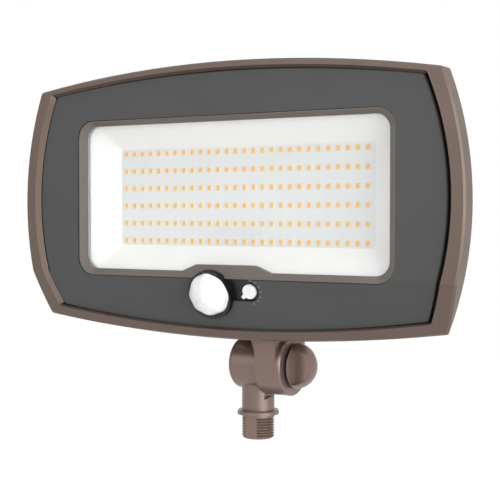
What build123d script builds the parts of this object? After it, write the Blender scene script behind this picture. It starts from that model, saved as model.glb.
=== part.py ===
from build123d import *
import math
import os

# Motion sensor security light: a bowed cast head with a bent front plate, a window with a reflector
# and six rows of LEDs, a tilted sensor dome with a selector knob, and a threaded knuckle mount.
# Millimetres. +Z is up and the light shines towards -Y. The origin is on the stud's axis, at the
# seating face of its flange.

# ---------------------------------------------------------------- mount stud and knuckle
STUD_RADIUS = 10.67
STUD_LENGTH = 15.6
STUD_TIP_CHAMFER = 1.2
FLAT_HALF_ANGLE = 20.0
FLANGE_RADIUS = 13.6
FLANGE_THICKNESS = 2.8
WIREWAY_RADIUS = 6.4
PIVOT_HEIGHT = 33.0
LUG_RADIUS = 16.6
LUG_LEFT = 14.0
LUG_ROUND = 3.6
SEAM_X = 8.6
BARREL_RADIUS = 19.4
BARREL_WIDTH = 18.4
BARREL_ROUND = 1.8
SHOULDER_GAP = 1.6
SHOULDER_SLOPE = 22.5
NECK_TOP = 25.0
NECK_FRONT_FLARE = 7.0
NECK_FLARE_HEIGHT = 17.0
NECK_BACK_FLARE = 3.0
ARM_PLATE_LEFT = 16.0
ARM_PLATE_RIGHT = 38.0
ARM_PLATE_FRONT = 19.0
ARM_PLATE_BACK = 19.0
ARM_PLATE_THICKNESS = 4.0
ARM_PLATE_ROUND = 5.0
ARM_GASKET_THICKNESS = 1.0
ARM_SCREW_INSET = 5.2
ARM_SCREW_RADIUS = 2.0
ARM_SCREW_HEAD_RADIUS = 3.6
ARM_SCREW_HEAD_HEIGHT = 2.4
ARM_SCREW_LENGTH = 11.0
WIRE_POCKET_RADIUS = 10.2
WIRE_POCKET_DEPTH = 9.0
BOSS_RADIUS = 5.6
WIRE_CHANNEL_WIDTH = 10.0
WIRE_CHANNEL_DEPTH = 7.0
TOOTH_COUNT = 36
TOOTH_INNER_RADIUS = 13.0
TOOTH_OUTER_RADIUS = 15.2
TOOTH_HEIGHT = 0.8
TOOTH_HALF_WIDTH = 0.85
KNUCKLE_GAP = 0.3
SEAL_INNER_RADIUS = 10.9
SEAL_OUTER_RADIUS = 12.3
SEAL_GROOVE_DEPTH = 1.2

# ---------------------------------------------------------------- clamp
BOLT_RADIUS = 4.0
BOLT_CLEARANCE = 0.06
BOLT_HEAD_FLATS = 13.0
BOLT_HEAD_HEIGHT = 5.3
BOLT_HEAD_CLEARANCE = 0.15
BOLT_TIP_GAP = 1.0
WASHER_RADIUS = 8.5
WASHER_THICKNESS = 1.6
WASHER_GAP = 0.15
KNOB_RADIUS = 15.3
KNOB_HEIGHT = 10.0
KNOB_ROUND = 5.0
KNOB_RECESS_RADIUS = 11.8
KNOB_RECESS_DEPTH = 6.6
KNOB_LAND_CHORD = 6.0
KNOB_LAND_DEPTH = 2.2

# ---------------------------------------------------------------- head outline and frame
LED_CENTRE_HEIGHT = 141.6
LED_PLANE_SETBACK = 22.7
HALF_WIDTH = 160.0
TOP_HEIGHT = 83.4
BOTTOM_DEPTH = 90.3
SIDE_BOW = 14.0
TOP_BOW = 12.2
BOTTOM_BOW = 10.8
RIM_FRONT = 22.0
WALL_DEPTH = 11.3
LIP_EXTRA_DEPTH = 4.6
CORNER_ROUND = 2.5
RIM_OUTER_CHAMFER = 1.2
RIM_INNER_CHAMFER = 1.4
RIM_SIDE = 8.2
RIM_TOP = 3.8
RIM_BOTTOM = 5.8
RIM_CORNER_SIDE = 9.2
RIM_CORNER_TOP = 2.2
RIM_CORNER_BOTTOM = 5.5
CHIN_START = 50.3
CHIN_ANGLE = 18.0
RECESS_FLOOR_DEPTH = 8.8
BACK_PLANE = 9.0
BACK_INSET_SIDE = 26.0
BACK_INSET_TOP = 17.0
BACK_INSET_BOTTOM = 8.0

# ---------------------------------------------------------------- back: fins and driver box
FIN_COUNT = 6
FIN_THICKNESS = 2.6
FIN_FIRST_X = 71.0
FIN_PITCH = 9.6
FIN_BACK = 30.0
FIN_END_INSET = 7.0
FIN_SLOPE = 14.0
FIN_ROOT_DEPTH = 1.0
BOX_HALF_WIDTH = 60.0
BOX_TOP = 47.0
BOX_BOTTOM = 77.0
BOX_BACK = 42.0
BOX_DRAFT = 6.0
BOX_ROUND = 5.0
BOX_WALL = 4.0
BOX_ROOT_DEPTH = 2.0
DRIVER_POCKET_HALF_WIDTH = 51.0
DRIVER_POCKET_HALF_HEIGHT = 34.0
WIRE_SPACE_BOTTOM = 66.0
WIRE_SPACE_FRONT = 8.0
WIRE_SPACE_SIDE = 2.0
PAD_SIDE_MARGIN = 1.5

# ---------------------------------------------------------------- front plate
PLATE_SETBACK = 2.8
PLATE_THICKNESS = 2.4
PLATE_GAP_SIDE = 3.4
PLATE_GAP_TOP = 1.8
PLATE_GAP_BOTTOM = 1.3
PLATE_CORNER_SIDE = 2.8
PLATE_CORNER_TOP = 0.9
PLATE_CORNER_BOTTOM = 1.5
PLATE_CHAMFER = 0.6
PEG_RADIUS = 2.0
PEG_CLEARANCE = 0.05
PEG_LENGTH = 4.0
PEG_POST_RADIUS = 4.0
PEG_SIDE_X = 133.0
PEG_SIDE_Z = 33.0
PEG_TOP_X = 62.0
PEG_TOP_Z = 65.0
PEG_CHIN_X = 100.0
PEG_CHIN_Z = 66.0

# ---------------------------------------------------------------- window
WINDOW_HALF_WIDTH = 116.5
WINDOW_TOP = 50.7
WINDOW_BOTTOM = 52.0
WINDOW_ROUND = 12.0
WINDOW_EDGE_GAP = 0.4
BEZEL_LAND = 0.5
SIGHT_HALF_WIDTH = 111.5
SIGHT_TOP = 47.0
SIGHT_BOTTOM = 47.4
SIGHT_ROUND = 9.0
BEZEL_SETBACK = 0.8
LIP_FRONT = 15.4
LIP_THICKNESS = 1.0
NOTCH_FOOT_HALF_WIDTH = 32.5
NOTCH_TOP_HALF_WIDTH = 21.5
NOTCH_HEIGHT = 4.4
NOTCH_FRONT = 17.6
FRAME_FLANGE = 9.0
FRAME_FLANGE_BELOW = 2.0
FRAME_SKIRT = 1.2
FRAME_FIT = 0.3
GLASS_THICKNESS = 3.2
GLASS_MARGIN_SIDE = 4.0
GLASS_MARGIN_TOP = 3.0
GLASS_FIT = 0.2
GASKET_THICKNESS = 1.6
REFLECTOR_WALL_SIDE = 1.75
REFLECTOR_WALL_TOP = 1.6
REFLECTOR_FOOT_ROUND = 2.0
REFLECTOR_MOUTH_MARGIN = 0.2
REFLECTOR_FLANGE = 1.4
REFLECTOR_FIT = 0.3
FRAME_SCREW_RADIUS = 1.5
FRAME_SCREW_HEAD_RADIUS = 2.6
FRAME_SCREW_HEAD_HEIGHT = 1.6
FRAME_SCREW_LENGTH = 7.0
FRAME_SCREW_FIT = 0.15
FRAME_SCREW_SIDE_Z = 36.0
FRAME_SCREW_TOP_X = 75.0
FRAME_SCREW_INSET = 4.6

# ---------------------------------------------------------------- LEDs and driver
LED_COLUMNS = 28
LED_ROWS = 6
LED_PITCH_X = 6.66
LED_PITCH_Z = 11.52
LED_WIDTH = 2.8
LED_HEIGHT = 3.5
LED_THICKNESS = 0.7
BOARD_HALF_WIDTH = 96.0
BOARD_HALF_HEIGHT = 33.5
BOARD_SIGHT_HALF_WIDTH = 94.5
BOARD_SIGHT_HALF_HEIGHT = 31.8
BOARD_THICKNESS = 1.6
TRAY_THICKNESS = 1.9
TRAY_HALF_WIDTH = 98.0
TRAY_HALF_HEIGHT = 39.5
TRAY_FIT = 0.5
TRAY_HOLE_RADIUS = 6.0
BOARD_SCREW_RADIUS = 1.5
BOARD_SCREW_HEAD_RADIUS = 2.4
BOARD_SCREW_HEAD_HEIGHT = 1.0
BOARD_SCREW_LENGTH = 5.2
BOARD_SCREW_OUTER_X = 84.0
BOARD_SCREW_INNER_X = 28.0
BOARD_SCREW_Z = 37.0
DRIVER_HALF_WIDTH = 46.0
DRIVER_HALF_HEIGHT = 27.0
DRIVER_DEPTH = 26.0
DRIVER_FOOT_LENGTH = 6.4
DRIVER_FOOT_HALF_WIDTH = 7.0
DRIVER_FOOT_X = 32.0
DRIVER_FOOT_THICKNESS = 2.0
DRIVER_SCREW_Z = 30.2
DRIVER_SCREW_RADIUS = 1.5
DRIVER_SCREW_HEAD_RADIUS = 2.6
DRIVER_SCREW_HEAD_HEIGHT = 1.6
DRIVER_SCREW_LENGTH = 5.0
LEAD_RADIUS = 0.9
LEAD_SPACING = 3.0
SENSOR_LEAD_X = 12.0
SENSOR_LEAD_DOWN = 15.0
SENSOR_LEAD_TURN_Y = 22.0
SENSOR_LEAD_BEND = 4.0
LEAD_HOLE_RADIUS = 2.2

# ---------------------------------------------------------------- sensor and selector
SENSOR_X = -11.4
SENSOR_DOWN = 12.0
DOME_RADIUS = 13.0
DOME_WALL = 1.0
DOME_BASE_LIFT = 2.2
DOME_SEAT_DEPTH = 0.7
COLLAR_RADIUS = 15.6
COLLAR_LIFT = 3.4
DOME_FIT = 0.2
SENSOR_OPENING_FIT = 0.3
SENSOR_BODY_LEFT = 30.0
SENSOR_BODY_RIGHT = 31.0
SENSOR_BODY_UP = 6.8
SENSOR_FACE_UP = 6.1
SENSOR_EAR = 7.0
SENSOR_BODY_DOWN = 26.0
SENSOR_BODY_DEPTH = 14.0
SENSOR_BODY_WALL = 1.0
SENSOR_BODY_ROUND = 3.0
SENSOR_FIT = 0.4
ELEMENT_HOLE_RADIUS = 6.5
ELEMENT_RADIUS = 4.1
ELEMENT_HEIGHT = 4.2
SENSOR_BOARD_SETBACK = 10.5
SENSOR_BOARD_MARGIN = 0.3
SENSOR_BOARD_THICKNESS = 1.2
SENSOR_SCREW_RADIUS = 1.0
SENSOR_SCREW_HEAD_RADIUS = 1.8
SENSOR_SCREW_HEAD_HEIGHT = 1.0
SENSOR_SCREW_LENGTH = 5.0
SENSOR_SCREW_X = 24.0
SENSOR_SCREW_DOWN = 21.5
SENSOR_POST_RADIUS = 2.8
SENSOR_EAR_SCREW_DOWN = 15.0
SELECTOR_X = 17.2
SELECTOR_DOWN = 9.3
SELECTOR_POCKET_RADIUS = 6.4
SELECTOR_POCKET_DEPTH = 1.6
SELECTOR_POCKET_UP = 2.2
SELECTOR_RADIUS = 5.15
SELECTOR_HEIGHT = 2.9
SELECTOR_TAIL_LIFT = 0.3
SELECTOR_RUN_GAP = 0.3
SELECTOR_TAIL_LENGTH = 7.8
SELECTOR_TAIL_WIDTH = 2.2
SELECTOR_TAIL_ANGLE = 217.0
TAIL_SPREAD = 0.5
SELECTOR_RIDGE_HEIGHT = 0.9
SELECTOR_RIDGE_WIDTH = 1.3
SELECTOR_STEM_RADIUS = 1.0
SELECTOR_STEM_CLEARANCE = 0.06
SELECTOR_STEM_DEPTH = 9.5
SELECTOR_SEAL_RADIUS = 2.6
SELECTOR_SEAL_THICKNESS = 1.0
SWITCH_HALF_WIDTH = 5.0
SWITCH_UP = 1.4
SWITCH_DOWN = 6.0
SWITCH_HEIGHT = 4.3
SWITCH_BORE_FLOOR = 0.6

# ---------------------------------------------------------------- breather vent
VENT_X = 38.0
VENT_DOWN = 56.0
VENT_RADIUS = 5.5
VENT_HEIGHT = 3.0
VENT_STEM_RADIUS = 3.0

# ---------------------------------------------------------------- worked out from the sizes above
REACH = 2 * HALF_WIDTH
CHIN_TAN = math.tan(math.radians(CHIN_ANGLE))
CHIN_COS = math.cos(math.radians(CHIN_ANGLE))
CHIN_SIN = math.sin(math.radians(CHIN_ANGLE))
WALL_BACK = -RIM_FRONT + WALL_DEPTH
RECESS_FLOOR = -RIM_FRONT + RECESS_FLOOR_DEPTH
PLATE_FRONT = -RIM_FRONT + PLATE_SETBACK
PLATE_BACK = PLATE_FRONT + PLATE_THICKNESS
GLASS_FRONT = -LIP_FRONT + LIP_THICKNESS
GLASS_BACK = GLASS_FRONT + GLASS_THICKNESS
LEDGE = GLASS_BACK + REFLECTOR_FLANGE + GASKET_THICKNESS
BOARD_FRONT = LED_THICKNESS
BOARD_BACK = BOARD_FRONT + BOARD_THICKNESS
CAVITY_FLOOR = BOARD_BACK + TRAY_THICKNESS
BARREL_LEFT_X = SEAM_X + KNUCKLE_GAP / 2
BARREL_RIGHT_X = SEAM_X + BARREL_WIDTH
LUG_RIGHT_X = SEAM_X - KNUCKLE_GAP / 2
WIRE_HOLE_X = BARREL_LEFT_X + WIRE_POCKET_DEPTH - WIRE_CHANNEL_DEPTH / 2
WASHER_LEFT_X = BARREL_RIGHT_X + WASHER_GAP
KNOB_LEFT_X = WASHER_LEFT_X + WASHER_THICKNESS + WASHER_GAP
BOLT_IN_KNOB = KNOB_HEIGHT - KNOB_RECESS_DEPTH - BOLT_TIP_GAP
PAD_BOTTOM = PIVOT_HEIGHT + NECK_TOP + ARM_GASKET_THICKNESS - LED_CENTRE_HEIGHT
PAD_FRONT = LED_PLANE_SETBACK - ARM_PLATE_FRONT - PAD_SIDE_MARGIN
PAD_BACK = LED_PLANE_SETBACK + ARM_PLATE_BACK
DRIVER_BACK = BOX_BACK - BOX_WALL
DRIVER_FRONT = DRIVER_BACK - DRIVER_DEPTH
RECESS_HALF_WIDTH = HALF_WIDTH - RIM_SIDE
RECESS_TOP = TOP_HEIGHT - RIM_TOP
RECESS_BOTTOM = BOTTOM_DEPTH - RIM_BOTTOM
RECESS_SIDE_BOW = SIDE_BOW - RIM_SIDE + RIM_CORNER_SIDE
RECESS_TOP_BOW = TOP_BOW - RIM_TOP + RIM_CORNER_TOP
RECESS_BOTTOM_BOW = BOTTOM_BOW - RIM_BOTTOM + RIM_CORNER_BOTTOM
GLASS_HALF_WIDTH = SIGHT_HALF_WIDTH + GLASS_MARGIN_SIDE
GLASS_TOP = SIGHT_TOP + GLASS_MARGIN_TOP
GLASS_BOTTOM = SIGHT_BOTTOM + GLASS_MARGIN_TOP
GLASS_ROUND = SIGHT_ROUND + GLASS_MARGIN_TOP
SENSOR_FLOOR = -(RECESS_FLOOR - PLATE_FRONT) * CHIN_COS
PLATE_UNDER = -PLATE_THICKNESS * CHIN_COS
HEAD_PLACE = Pos(0, -LED_PLANE_SETBACK, LED_CENTRE_HEIGHT)
CHIN_PLANE = Plane(
    origin=(0, PLATE_FRONT, -CHIN_START),
    x_dir=(1, 0, 0),
    z_dir=(0, -CHIN_COS, -CHIN_SIN),
)
PARTS = {}


def keep(name, shape):
    """Name a finished node; a list of solids becomes one node of separate solids."""
    PARTS[name] = shape


def bowed_outline(half_width, top, bottom, side_bow, top_bow, bottom_bow):
    """A face in the XZ plane with four outward-bowed arcs that meet at the corners."""
    corner_x = half_width - side_bow
    corner_top = top - top_bow
    corner_bottom = -bottom + bottom_bow
    middle = (corner_top + corner_bottom) / 2
    upper = ThreePointArc((-corner_x, 0, corner_top), (0, 0, top), (corner_x, 0, corner_top))
    right = ThreePointArc((corner_x, 0, corner_top), (half_width, 0, middle), (corner_x, 0, corner_bottom))
    lower = ThreePointArc((corner_x, 0, corner_bottom), (0, 0, -bottom), (-corner_x, 0, corner_bottom))
    left = ThreePointArc((-corner_x, 0, corner_bottom), (-half_width, 0, middle), (-corner_x, 0, corner_top))
    face = make_face(upper + right + lower + left)
    return fillet(face.vertices(), CORNER_ROUND)


def along_y(face, front, back):
    """Extrude an XZ face from y = front to y = back."""
    return extrude(Pos(0, front, 0) * face, amount=back - front, dir=(0, 1, 0))


def xz_box(left, right, bottom, top, front, back):
    size = Box(right - left, back - front, top - bottom)
    return Pos((left + right) / 2, (front + back) / 2, (bottom + top) / 2) * size


def rounded_window(half_width, top, bottom, radius):
    """A rounded rectangle in the XZ plane."""
    sketch = RectangleRounded(2 * half_width, top + bottom, radius)
    return Pos(0, 0, (top - bottom) / 2) * (Plane.XZ * sketch)


def bent_slab(front, back):
    """The space between two bent surfaces, flat above the chin and sloped back below it."""
    drop = BOTTOM_DEPTH
    run = drop * CHIN_TAN
    points = [
        (0, front, TOP_HEIGHT + drop),
        (0, front, -CHIN_START),
        (0, front + run, -CHIN_START - drop),
        (0, back + run, -CHIN_START - drop),
        (0, back, -CHIN_START),
        (0, back, TOP_HEIGHT + drop),
    ]
    profile = make_face(Polyline(*points, close=True))
    return extrude(Pos(-REACH, 0, 0) * profile, amount=2 * REACH, dir=(1, 0, 0))


def x_cylinder(radius, left, right, y=0.0, z=0.0):
    """A cylinder along X between two X values."""
    body = Rot(0, 90, 0) * Cylinder(radius, right - left)
    return Pos((left + right) / 2, y, z) * body


def y_cylinder(radius, front, back, x=0.0, z=0.0):
    body = Rot(90, 0, 0) * Cylinder(radius, back - front)
    return Pos(x, (front + back) / 2, z) * body


def z_cylinder(radius, bottom, top, x=0.0, y=0.0):
    return Pos(x, y, (bottom + top) / 2) * Cylinder(radius, top - bottom)


def bent_layer(face, front, back):
    """An XZ face as a sheet that follows the bend, from depth front to depth back."""
    run = BOTTOM_DEPTH * CHIN_TAN
    return along_y(face, front, back + run) & bent_slab(front, back)


def on_chin(x, down, lift, shape):
    """Place a shape drawn on XY with +Z outward at a point of the chin."""
    return CHIN_PLANE * Pos(x, -down, lift) * shape


def chin_cylinder(radius, low, high, x, down):
    return on_chin(x, down, (low + high) / 2, Cylinder(radius, high - low))


def chin_box(left, right, down_top, down_bottom, low, high):
    size = Box(right - left, down_bottom - down_top, high - low)
    return on_chin((left + right) / 2, (down_top + down_bottom) / 2, (low + high) / 2, size)


# ---------------------------------------------------------------- knuckle


def pivot_cylinder(radius, left, right):
    return x_cylinder(radius, left, right, 0, PIVOT_HEIGHT)


def face_grooves(face_x, inward):
    """Radial V grooves cut into a knuckle face; the teeth are the lands left between them."""
    root = face_x + inward * TOOTH_HEIGHT
    above = face_x - inward * TOOTH_HEIGHT
    wedge = Polyline((above, -2 * TOOTH_HALF_WIDTH, 0), (above, 2 * TOOTH_HALF_WIDTH, 0), (root, 0, 0), close=True)
    length = TOOTH_OUTER_RADIUS - TOOTH_INNER_RADIUS
    groove = Pos(0, 0, TOOTH_INNER_RADIUS) * extrude(make_face(wedge), amount=length, dir=(0, 0, 1))
    return [
        Pos(0, 0, PIVOT_HEIGHT) * Rot(360 * i / TOOTH_COUNT, 0, 0) * groove for i in range(TOOTH_COUNT)
    ]


def wire_pocket(left, right):
    """The ring-shaped hollow round the clamp bolt, through which the supply wires pass."""
    return pivot_cylinder(WIRE_POCKET_RADIUS, left, right) - pivot_cylinder(BOSS_RADIUS, left, right)


def lower_arm():
    lug = pivot_cylinder(LUG_RADIUS, -LUG_LEFT, LUG_RIGHT_X)
    lug = fillet(lug.edges().group_by(Axis.X)[0], LUG_ROUND)
    stem = z_cylinder(STUD_RADIUS, 0, PIVOT_HEIGHT)
    flange = z_cylinder(FLANGE_RADIUS, 0, FLANGE_THICKNESS)
    flange = chamfer(flange.edges().group_by(Axis.Z)[-1], FLANGE_THICKNESS / 4)
    stud = z_cylinder(STUD_RADIUS, -STUD_LENGTH, 0)
    stud = chamfer(stud.edges().group_by(Axis.Z)[0], STUD_TIP_CHAMFER)
    flat_y = STUD_RADIUS * math.cos(math.radians(FLAT_HALF_ANGLE))
    shank = stem + stud
    for side in (-1, 1):
        cutter = Box(2 * STUD_RADIUS, STUD_RADIUS, STUD_LENGTH + PIVOT_HEIGHT - LUG_RADIUS / 2)
        height = -STUD_LENGTH + (STUD_LENGTH + PIVOT_HEIGHT - LUG_RADIUS / 2) / 2
        shank -= Pos(0, side * (flat_y + STUD_RADIUS / 2), height) * cutter
    arm = lug + shank + flange
    past_seam = LUG_RIGHT_X
    arm -= pivot_cylinder(BARREL_RADIUS + SHOULDER_GAP, past_seam, past_seam + STUD_RADIUS)
    reach = 4 * STUD_RADIUS
    for side in (-1, 1):
        slab = Pos(past_seam + STUD_RADIUS / 2, side * reach / 2, reach / 2) * Box(STUD_RADIUS, reach, reach)
        slope = Pos(0, 0, PIVOT_HEIGHT - BARREL_RADIUS - SHOULDER_GAP / 2) * Rot(-side * SHOULDER_SLOPE, 0, 0)
        arm -= slope * slab
    arm -= z_cylinder(WIREWAY_RADIUS, -STUD_LENGTH, PIVOT_HEIGHT - BOSS_RADIUS)
    arm -= wire_pocket(LUG_RIGHT_X - WIRE_POCKET_DEPTH, LUG_RIGHT_X)
    groove = pivot_cylinder(SEAL_OUTER_RADIUS, LUG_RIGHT_X - SEAL_GROOVE_DEPTH, LUG_RIGHT_X)
    groove -= pivot_cylinder(SEAL_INNER_RADIUS, LUG_RIGHT_X - SEAL_GROOVE_DEPTH, LUG_RIGHT_X)
    arm -= groove
    arm -= pivot_cylinder(BOLT_RADIUS + BOLT_CLEARANCE, -LUG_LEFT, LUG_RIGHT_X)
    arm -= bolt_head(BOLT_HEAD_CLEARANCE)
    return arm - face_grooves(LUG_RIGHT_X, -1)


def bolt_head(clearance):
    """The hexagon head, sunk flush in the lug's outer face."""
    flats = BOLT_HEAD_FLATS + 2 * clearance
    hexagon = RegularPolygon(flats / 2, 6, major_radius=False)
    length = BOLT_HEAD_HEIGHT
    head = Rot(0, 90, 0) * extrude(hexagon, amount=length)
    return Pos(-LUG_LEFT, 0, PIVOT_HEIGHT) * head


def clamp_bolt():
    shank = pivot_cylinder(BOLT_RADIUS, -LUG_LEFT + BOLT_HEAD_HEIGHT / 2, KNOB_LEFT_X + BOLT_IN_KNOB)
    return bolt_head(0) + shank


def upper_arm():
    """The barrel and its flared neck as one profile, and the plate under the head."""
    top = PIVOT_HEIGHT + NECK_TOP
    under_plate = top - ARM_PLATE_THICKNESS
    front = BARREL_RADIUS + NECK_FRONT_FLARE
    back = BARREL_RADIUS + NECK_BACK_FLARE
    barrel = ThreePointArc(
        (0, BARREL_RADIUS, PIVOT_HEIGHT),
        (0, 0, PIVOT_HEIGHT - BARREL_RADIUS),
        (0, -BARREL_RADIUS, PIVOT_HEIGHT),
    )
    sides = Polyline(
        (0, -BARREL_RADIUS, PIVOT_HEIGHT),
        (0, -front, PIVOT_HEIGHT + NECK_FLARE_HEIGHT),
        (0, -ARM_PLATE_FRONT, under_plate),
        (0, -ARM_PLATE_FRONT, top),
        (0, ARM_PLATE_BACK, top),
        (0, ARM_PLATE_BACK, under_plate),
        (0, back, PIVOT_HEIGHT + NECK_FLARE_HEIGHT),
        (0, BARREL_RADIUS, PIVOT_HEIGHT),
    )
    profile = Pos(BARREL_LEFT_X, 0, 0) * make_face(barrel + sides)
    arm = extrude(profile, amount=BARREL_RIGHT_X - BARREL_LEFT_X, dir=(1, 0, 0))
    right_edges = arm.edges().group_by(Axis.X)[-1].filter_by(lambda e: e.center().Z < under_plate - 1)
    arm = chamfer(right_edges, BARREL_ROUND)
    width = ARM_PLATE_LEFT + ARM_PLATE_RIGHT
    length = ARM_PLATE_FRONT + ARM_PLATE_BACK
    plate = RectangleRounded(width, length, ARM_PLATE_ROUND)
    centre_x = (ARM_PLATE_RIGHT - ARM_PLATE_LEFT) / 2
    centre_y = (ARM_PLATE_BACK - ARM_PLATE_FRONT) / 2
    arm += Pos(centre_x, centre_y, under_plate) * extrude(plate, amount=ARM_PLATE_THICKNESS)
    arm -= wire_pocket(BARREL_LEFT_X, BARREL_LEFT_X + WIRE_POCKET_DEPTH)
    channel = Box(WIRE_CHANNEL_DEPTH, WIRE_CHANNEL_WIDTH, NECK_TOP - BOSS_RADIUS)
    arm -= Pos(WIRE_HOLE_X, 0, PIVOT_HEIGHT + (BOSS_RADIUS + NECK_TOP) / 2) * channel
    arm -= pivot_cylinder(BOLT_RADIUS + BOLT_CLEARANCE, BARREL_LEFT_X, BARREL_RIGHT_X)
    for x, y in arm_screw_places():
        arm -= z_cylinder(ARM_SCREW_RADIUS, under_plate, top, x, y)
    return arm - face_grooves(BARREL_LEFT_X, 1)


def arm_screw_places():
    left = -ARM_PLATE_LEFT + ARM_SCREW_INSET
    right = ARM_PLATE_RIGHT - ARM_SCREW_INSET
    front = -ARM_PLATE_FRONT + ARM_SCREW_INSET
    back = ARM_PLATE_BACK - ARM_SCREW_INSET
    return [(left, front), (left, back), (right, front), (right, back)]


def arm_screws():
    seat = PIVOT_HEIGHT + NECK_TOP - ARM_PLATE_THICKNESS
    screws = []
    for x, y in arm_screw_places():
        head = z_cylinder(ARM_SCREW_HEAD_RADIUS, seat - ARM_SCREW_HEAD_HEIGHT, seat, x, y)
        head = chamfer(head.edges().group_by(Axis.Z)[0], ARM_SCREW_HEAD_HEIGHT / 4)
        screws.append(head + z_cylinder(ARM_SCREW_RADIUS, seat, seat + ARM_SCREW_LENGTH, x, y))
    return screws


def arm_gasket():
    width = ARM_PLATE_LEFT + ARM_PLATE_RIGHT
    length = ARM_PLATE_FRONT + ARM_PLATE_BACK
    centre_x = (ARM_PLATE_RIGHT - ARM_PLATE_LEFT) / 2
    centre_y = (ARM_PLATE_BACK - ARM_PLATE_FRONT) / 2
    sheet = Pos(centre_x, centre_y, 0) * RectangleRounded(width, length, ARM_PLATE_ROUND)
    for x, y in arm_screw_places():
        sheet -= Pos(x, y, 0) * Circle(ARM_SCREW_RADIUS)
    sheet -= Pos(WIRE_HOLE_X, 0, 0) * Rectangle(WIRE_CHANNEL_DEPTH, WIRE_CHANNEL_WIDTH)
    return Pos(0, 0, PIVOT_HEIGHT + NECK_TOP) * extrude(sheet, amount=ARM_GASKET_THICKNESS)


def knuckle_seal():
    left = LUG_RIGHT_X - SEAL_GROOVE_DEPTH
    hole = pivot_cylinder(SEAL_INNER_RADIUS, left, LUG_RIGHT_X)
    return pivot_cylinder(SEAL_OUTER_RADIUS, left, LUG_RIGHT_X) - hole


def clamp_washer():
    right = WASHER_LEFT_X + WASHER_THICKNESS
    hole = pivot_cylinder(BOLT_RADIUS + BOLT_CLEARANCE, WASHER_LEFT_X, right)
    return pivot_cylinder(WASHER_RADIUS, WASHER_LEFT_X, right) - hole


def clamp_knob():
    """A round cup with a rounded rim; its recess has a straight land on the front side."""
    right = KNOB_LEFT_X + KNOB_HEIGHT
    knob = pivot_cylinder(KNOB_RADIUS, KNOB_LEFT_X, right)
    knob = fillet(knob.edges().group_by(Axis.X)[-1], KNOB_ROUND)
    recess = pivot_cylinder(KNOB_RECESS_RADIUS, right - KNOB_RECESS_DEPTH, right)
    land_front = -KNOB_RECESS_RADIUS
    land = Pos(
        right - KNOB_RECESS_DEPTH + (KNOB_RECESS_DEPTH - KNOB_LAND_DEPTH) / 2,
        (land_front - KNOB_LAND_CHORD) / 2,
        PIVOT_HEIGHT,
    ) * Box(KNOB_RECESS_DEPTH - KNOB_LAND_DEPTH, -KNOB_LAND_CHORD - land_front, 2 * KNOB_RECESS_RADIUS)
    knob -= recess - land
    return knob - pivot_cylinder(BOLT_RADIUS + BOLT_CLEARANCE, KNOB_LEFT_X, right)


# ---------------------------------------------------------------- head outlines


def outer_outline():
    return bowed_outline(HALF_WIDTH, TOP_HEIGHT, BOTTOM_DEPTH, SIDE_BOW, TOP_BOW, BOTTOM_BOW)


def recess_outline():
    return bowed_outline(
        RECESS_HALF_WIDTH, RECESS_TOP, RECESS_BOTTOM, RECESS_SIDE_BOW, RECESS_TOP_BOW, RECESS_BOTTOM_BOW
    )


def plate_outline():
    return bowed_outline(
        RECESS_HALF_WIDTH - PLATE_GAP_SIDE,
        RECESS_TOP - PLATE_GAP_TOP,
        RECESS_BOTTOM - PLATE_GAP_BOTTOM,
        RECESS_SIDE_BOW - PLATE_GAP_SIDE + PLATE_CORNER_SIDE,
        RECESS_TOP_BOW - PLATE_GAP_TOP + PLATE_CORNER_TOP,
        RECESS_BOTTOM_BOW - PLATE_GAP_BOTTOM + PLATE_CORNER_BOTTOM,
    )


def back_outline():
    return bowed_outline(
        HALF_WIDTH - BACK_INSET_SIDE,
        TOP_HEIGHT - BACK_INSET_TOP,
        BOTTOM_DEPTH - BACK_INSET_BOTTOM,
        SIDE_BOW,
        TOP_BOW,
        BOTTOM_BOW,
    )


def bent_depth(z, front):
    """Y of the bent surface that lies at `front` above the chin."""
    return front + max(0.0, -CHIN_START - z) * CHIN_TAN


def bent_edges(solid, front):
    """The curved edges that lie on a bent surface, without the fold line itself."""
    chosen = []
    for edge in solid.edges():
        if edge.geom_type == GeomType.LINE and edge.length > CORNER_ROUND * 2:
            continue
        points = [edge @ 0.1, edge @ 0.5, edge @ 0.9]
        if all(abs(p.Y - bent_depth(p.Z, front)) < 0.01 for p in points):
            chosen.append(edge)
    return chosen


# ---------------------------------------------------------------- housing


def fin(x):
    """One upright cooling fin whose length follows the bowed back."""
    corner_x = HALF_WIDTH - BACK_INSET_SIDE - SIDE_BOW
    share = (x / corner_x) ** 2
    top = TOP_HEIGHT - BACK_INSET_TOP - TOP_BOW * share - FIN_END_INSET
    bottom = -BOTTOM_DEPTH + BACK_INSET_BOTTOM + BOTTOM_BOW * share + FIN_END_INSET
    root = BACK_PLANE - FIN_ROOT_DEPTH
    points = [
        (0, root, bottom),
        (0, FIN_BACK, bottom + FIN_SLOPE),
        (0, FIN_BACK, top - FIN_SLOPE),
        (0, root, top),
    ]
    profile = make_face(Polyline(*points, close=True))
    return extrude(Pos(x - FIN_THICKNESS / 2, 0, 0) * profile, amount=FIN_THICKNESS, dir=(1, 0, 0))


def driver_box():
    """The drafted box on the back that holds the driver."""
    root = BACK_PLANE - BOX_ROOT_DEPTH
    shrink = (BOX_BACK - root) * math.tan(math.radians(BOX_DRAFT))
    foot = rounded_window(BOX_HALF_WIDTH, BOX_TOP, BOX_BOTTOM, BOX_ROUND)
    cap = rounded_window(BOX_HALF_WIDTH - shrink, BOX_TOP - shrink, BOX_BOTTOM - shrink, BOX_ROUND)
    return loft([Pos(0, root, 0) * foot, Pos(0, BOX_BACK, 0) * cap], ruled=True)


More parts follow.
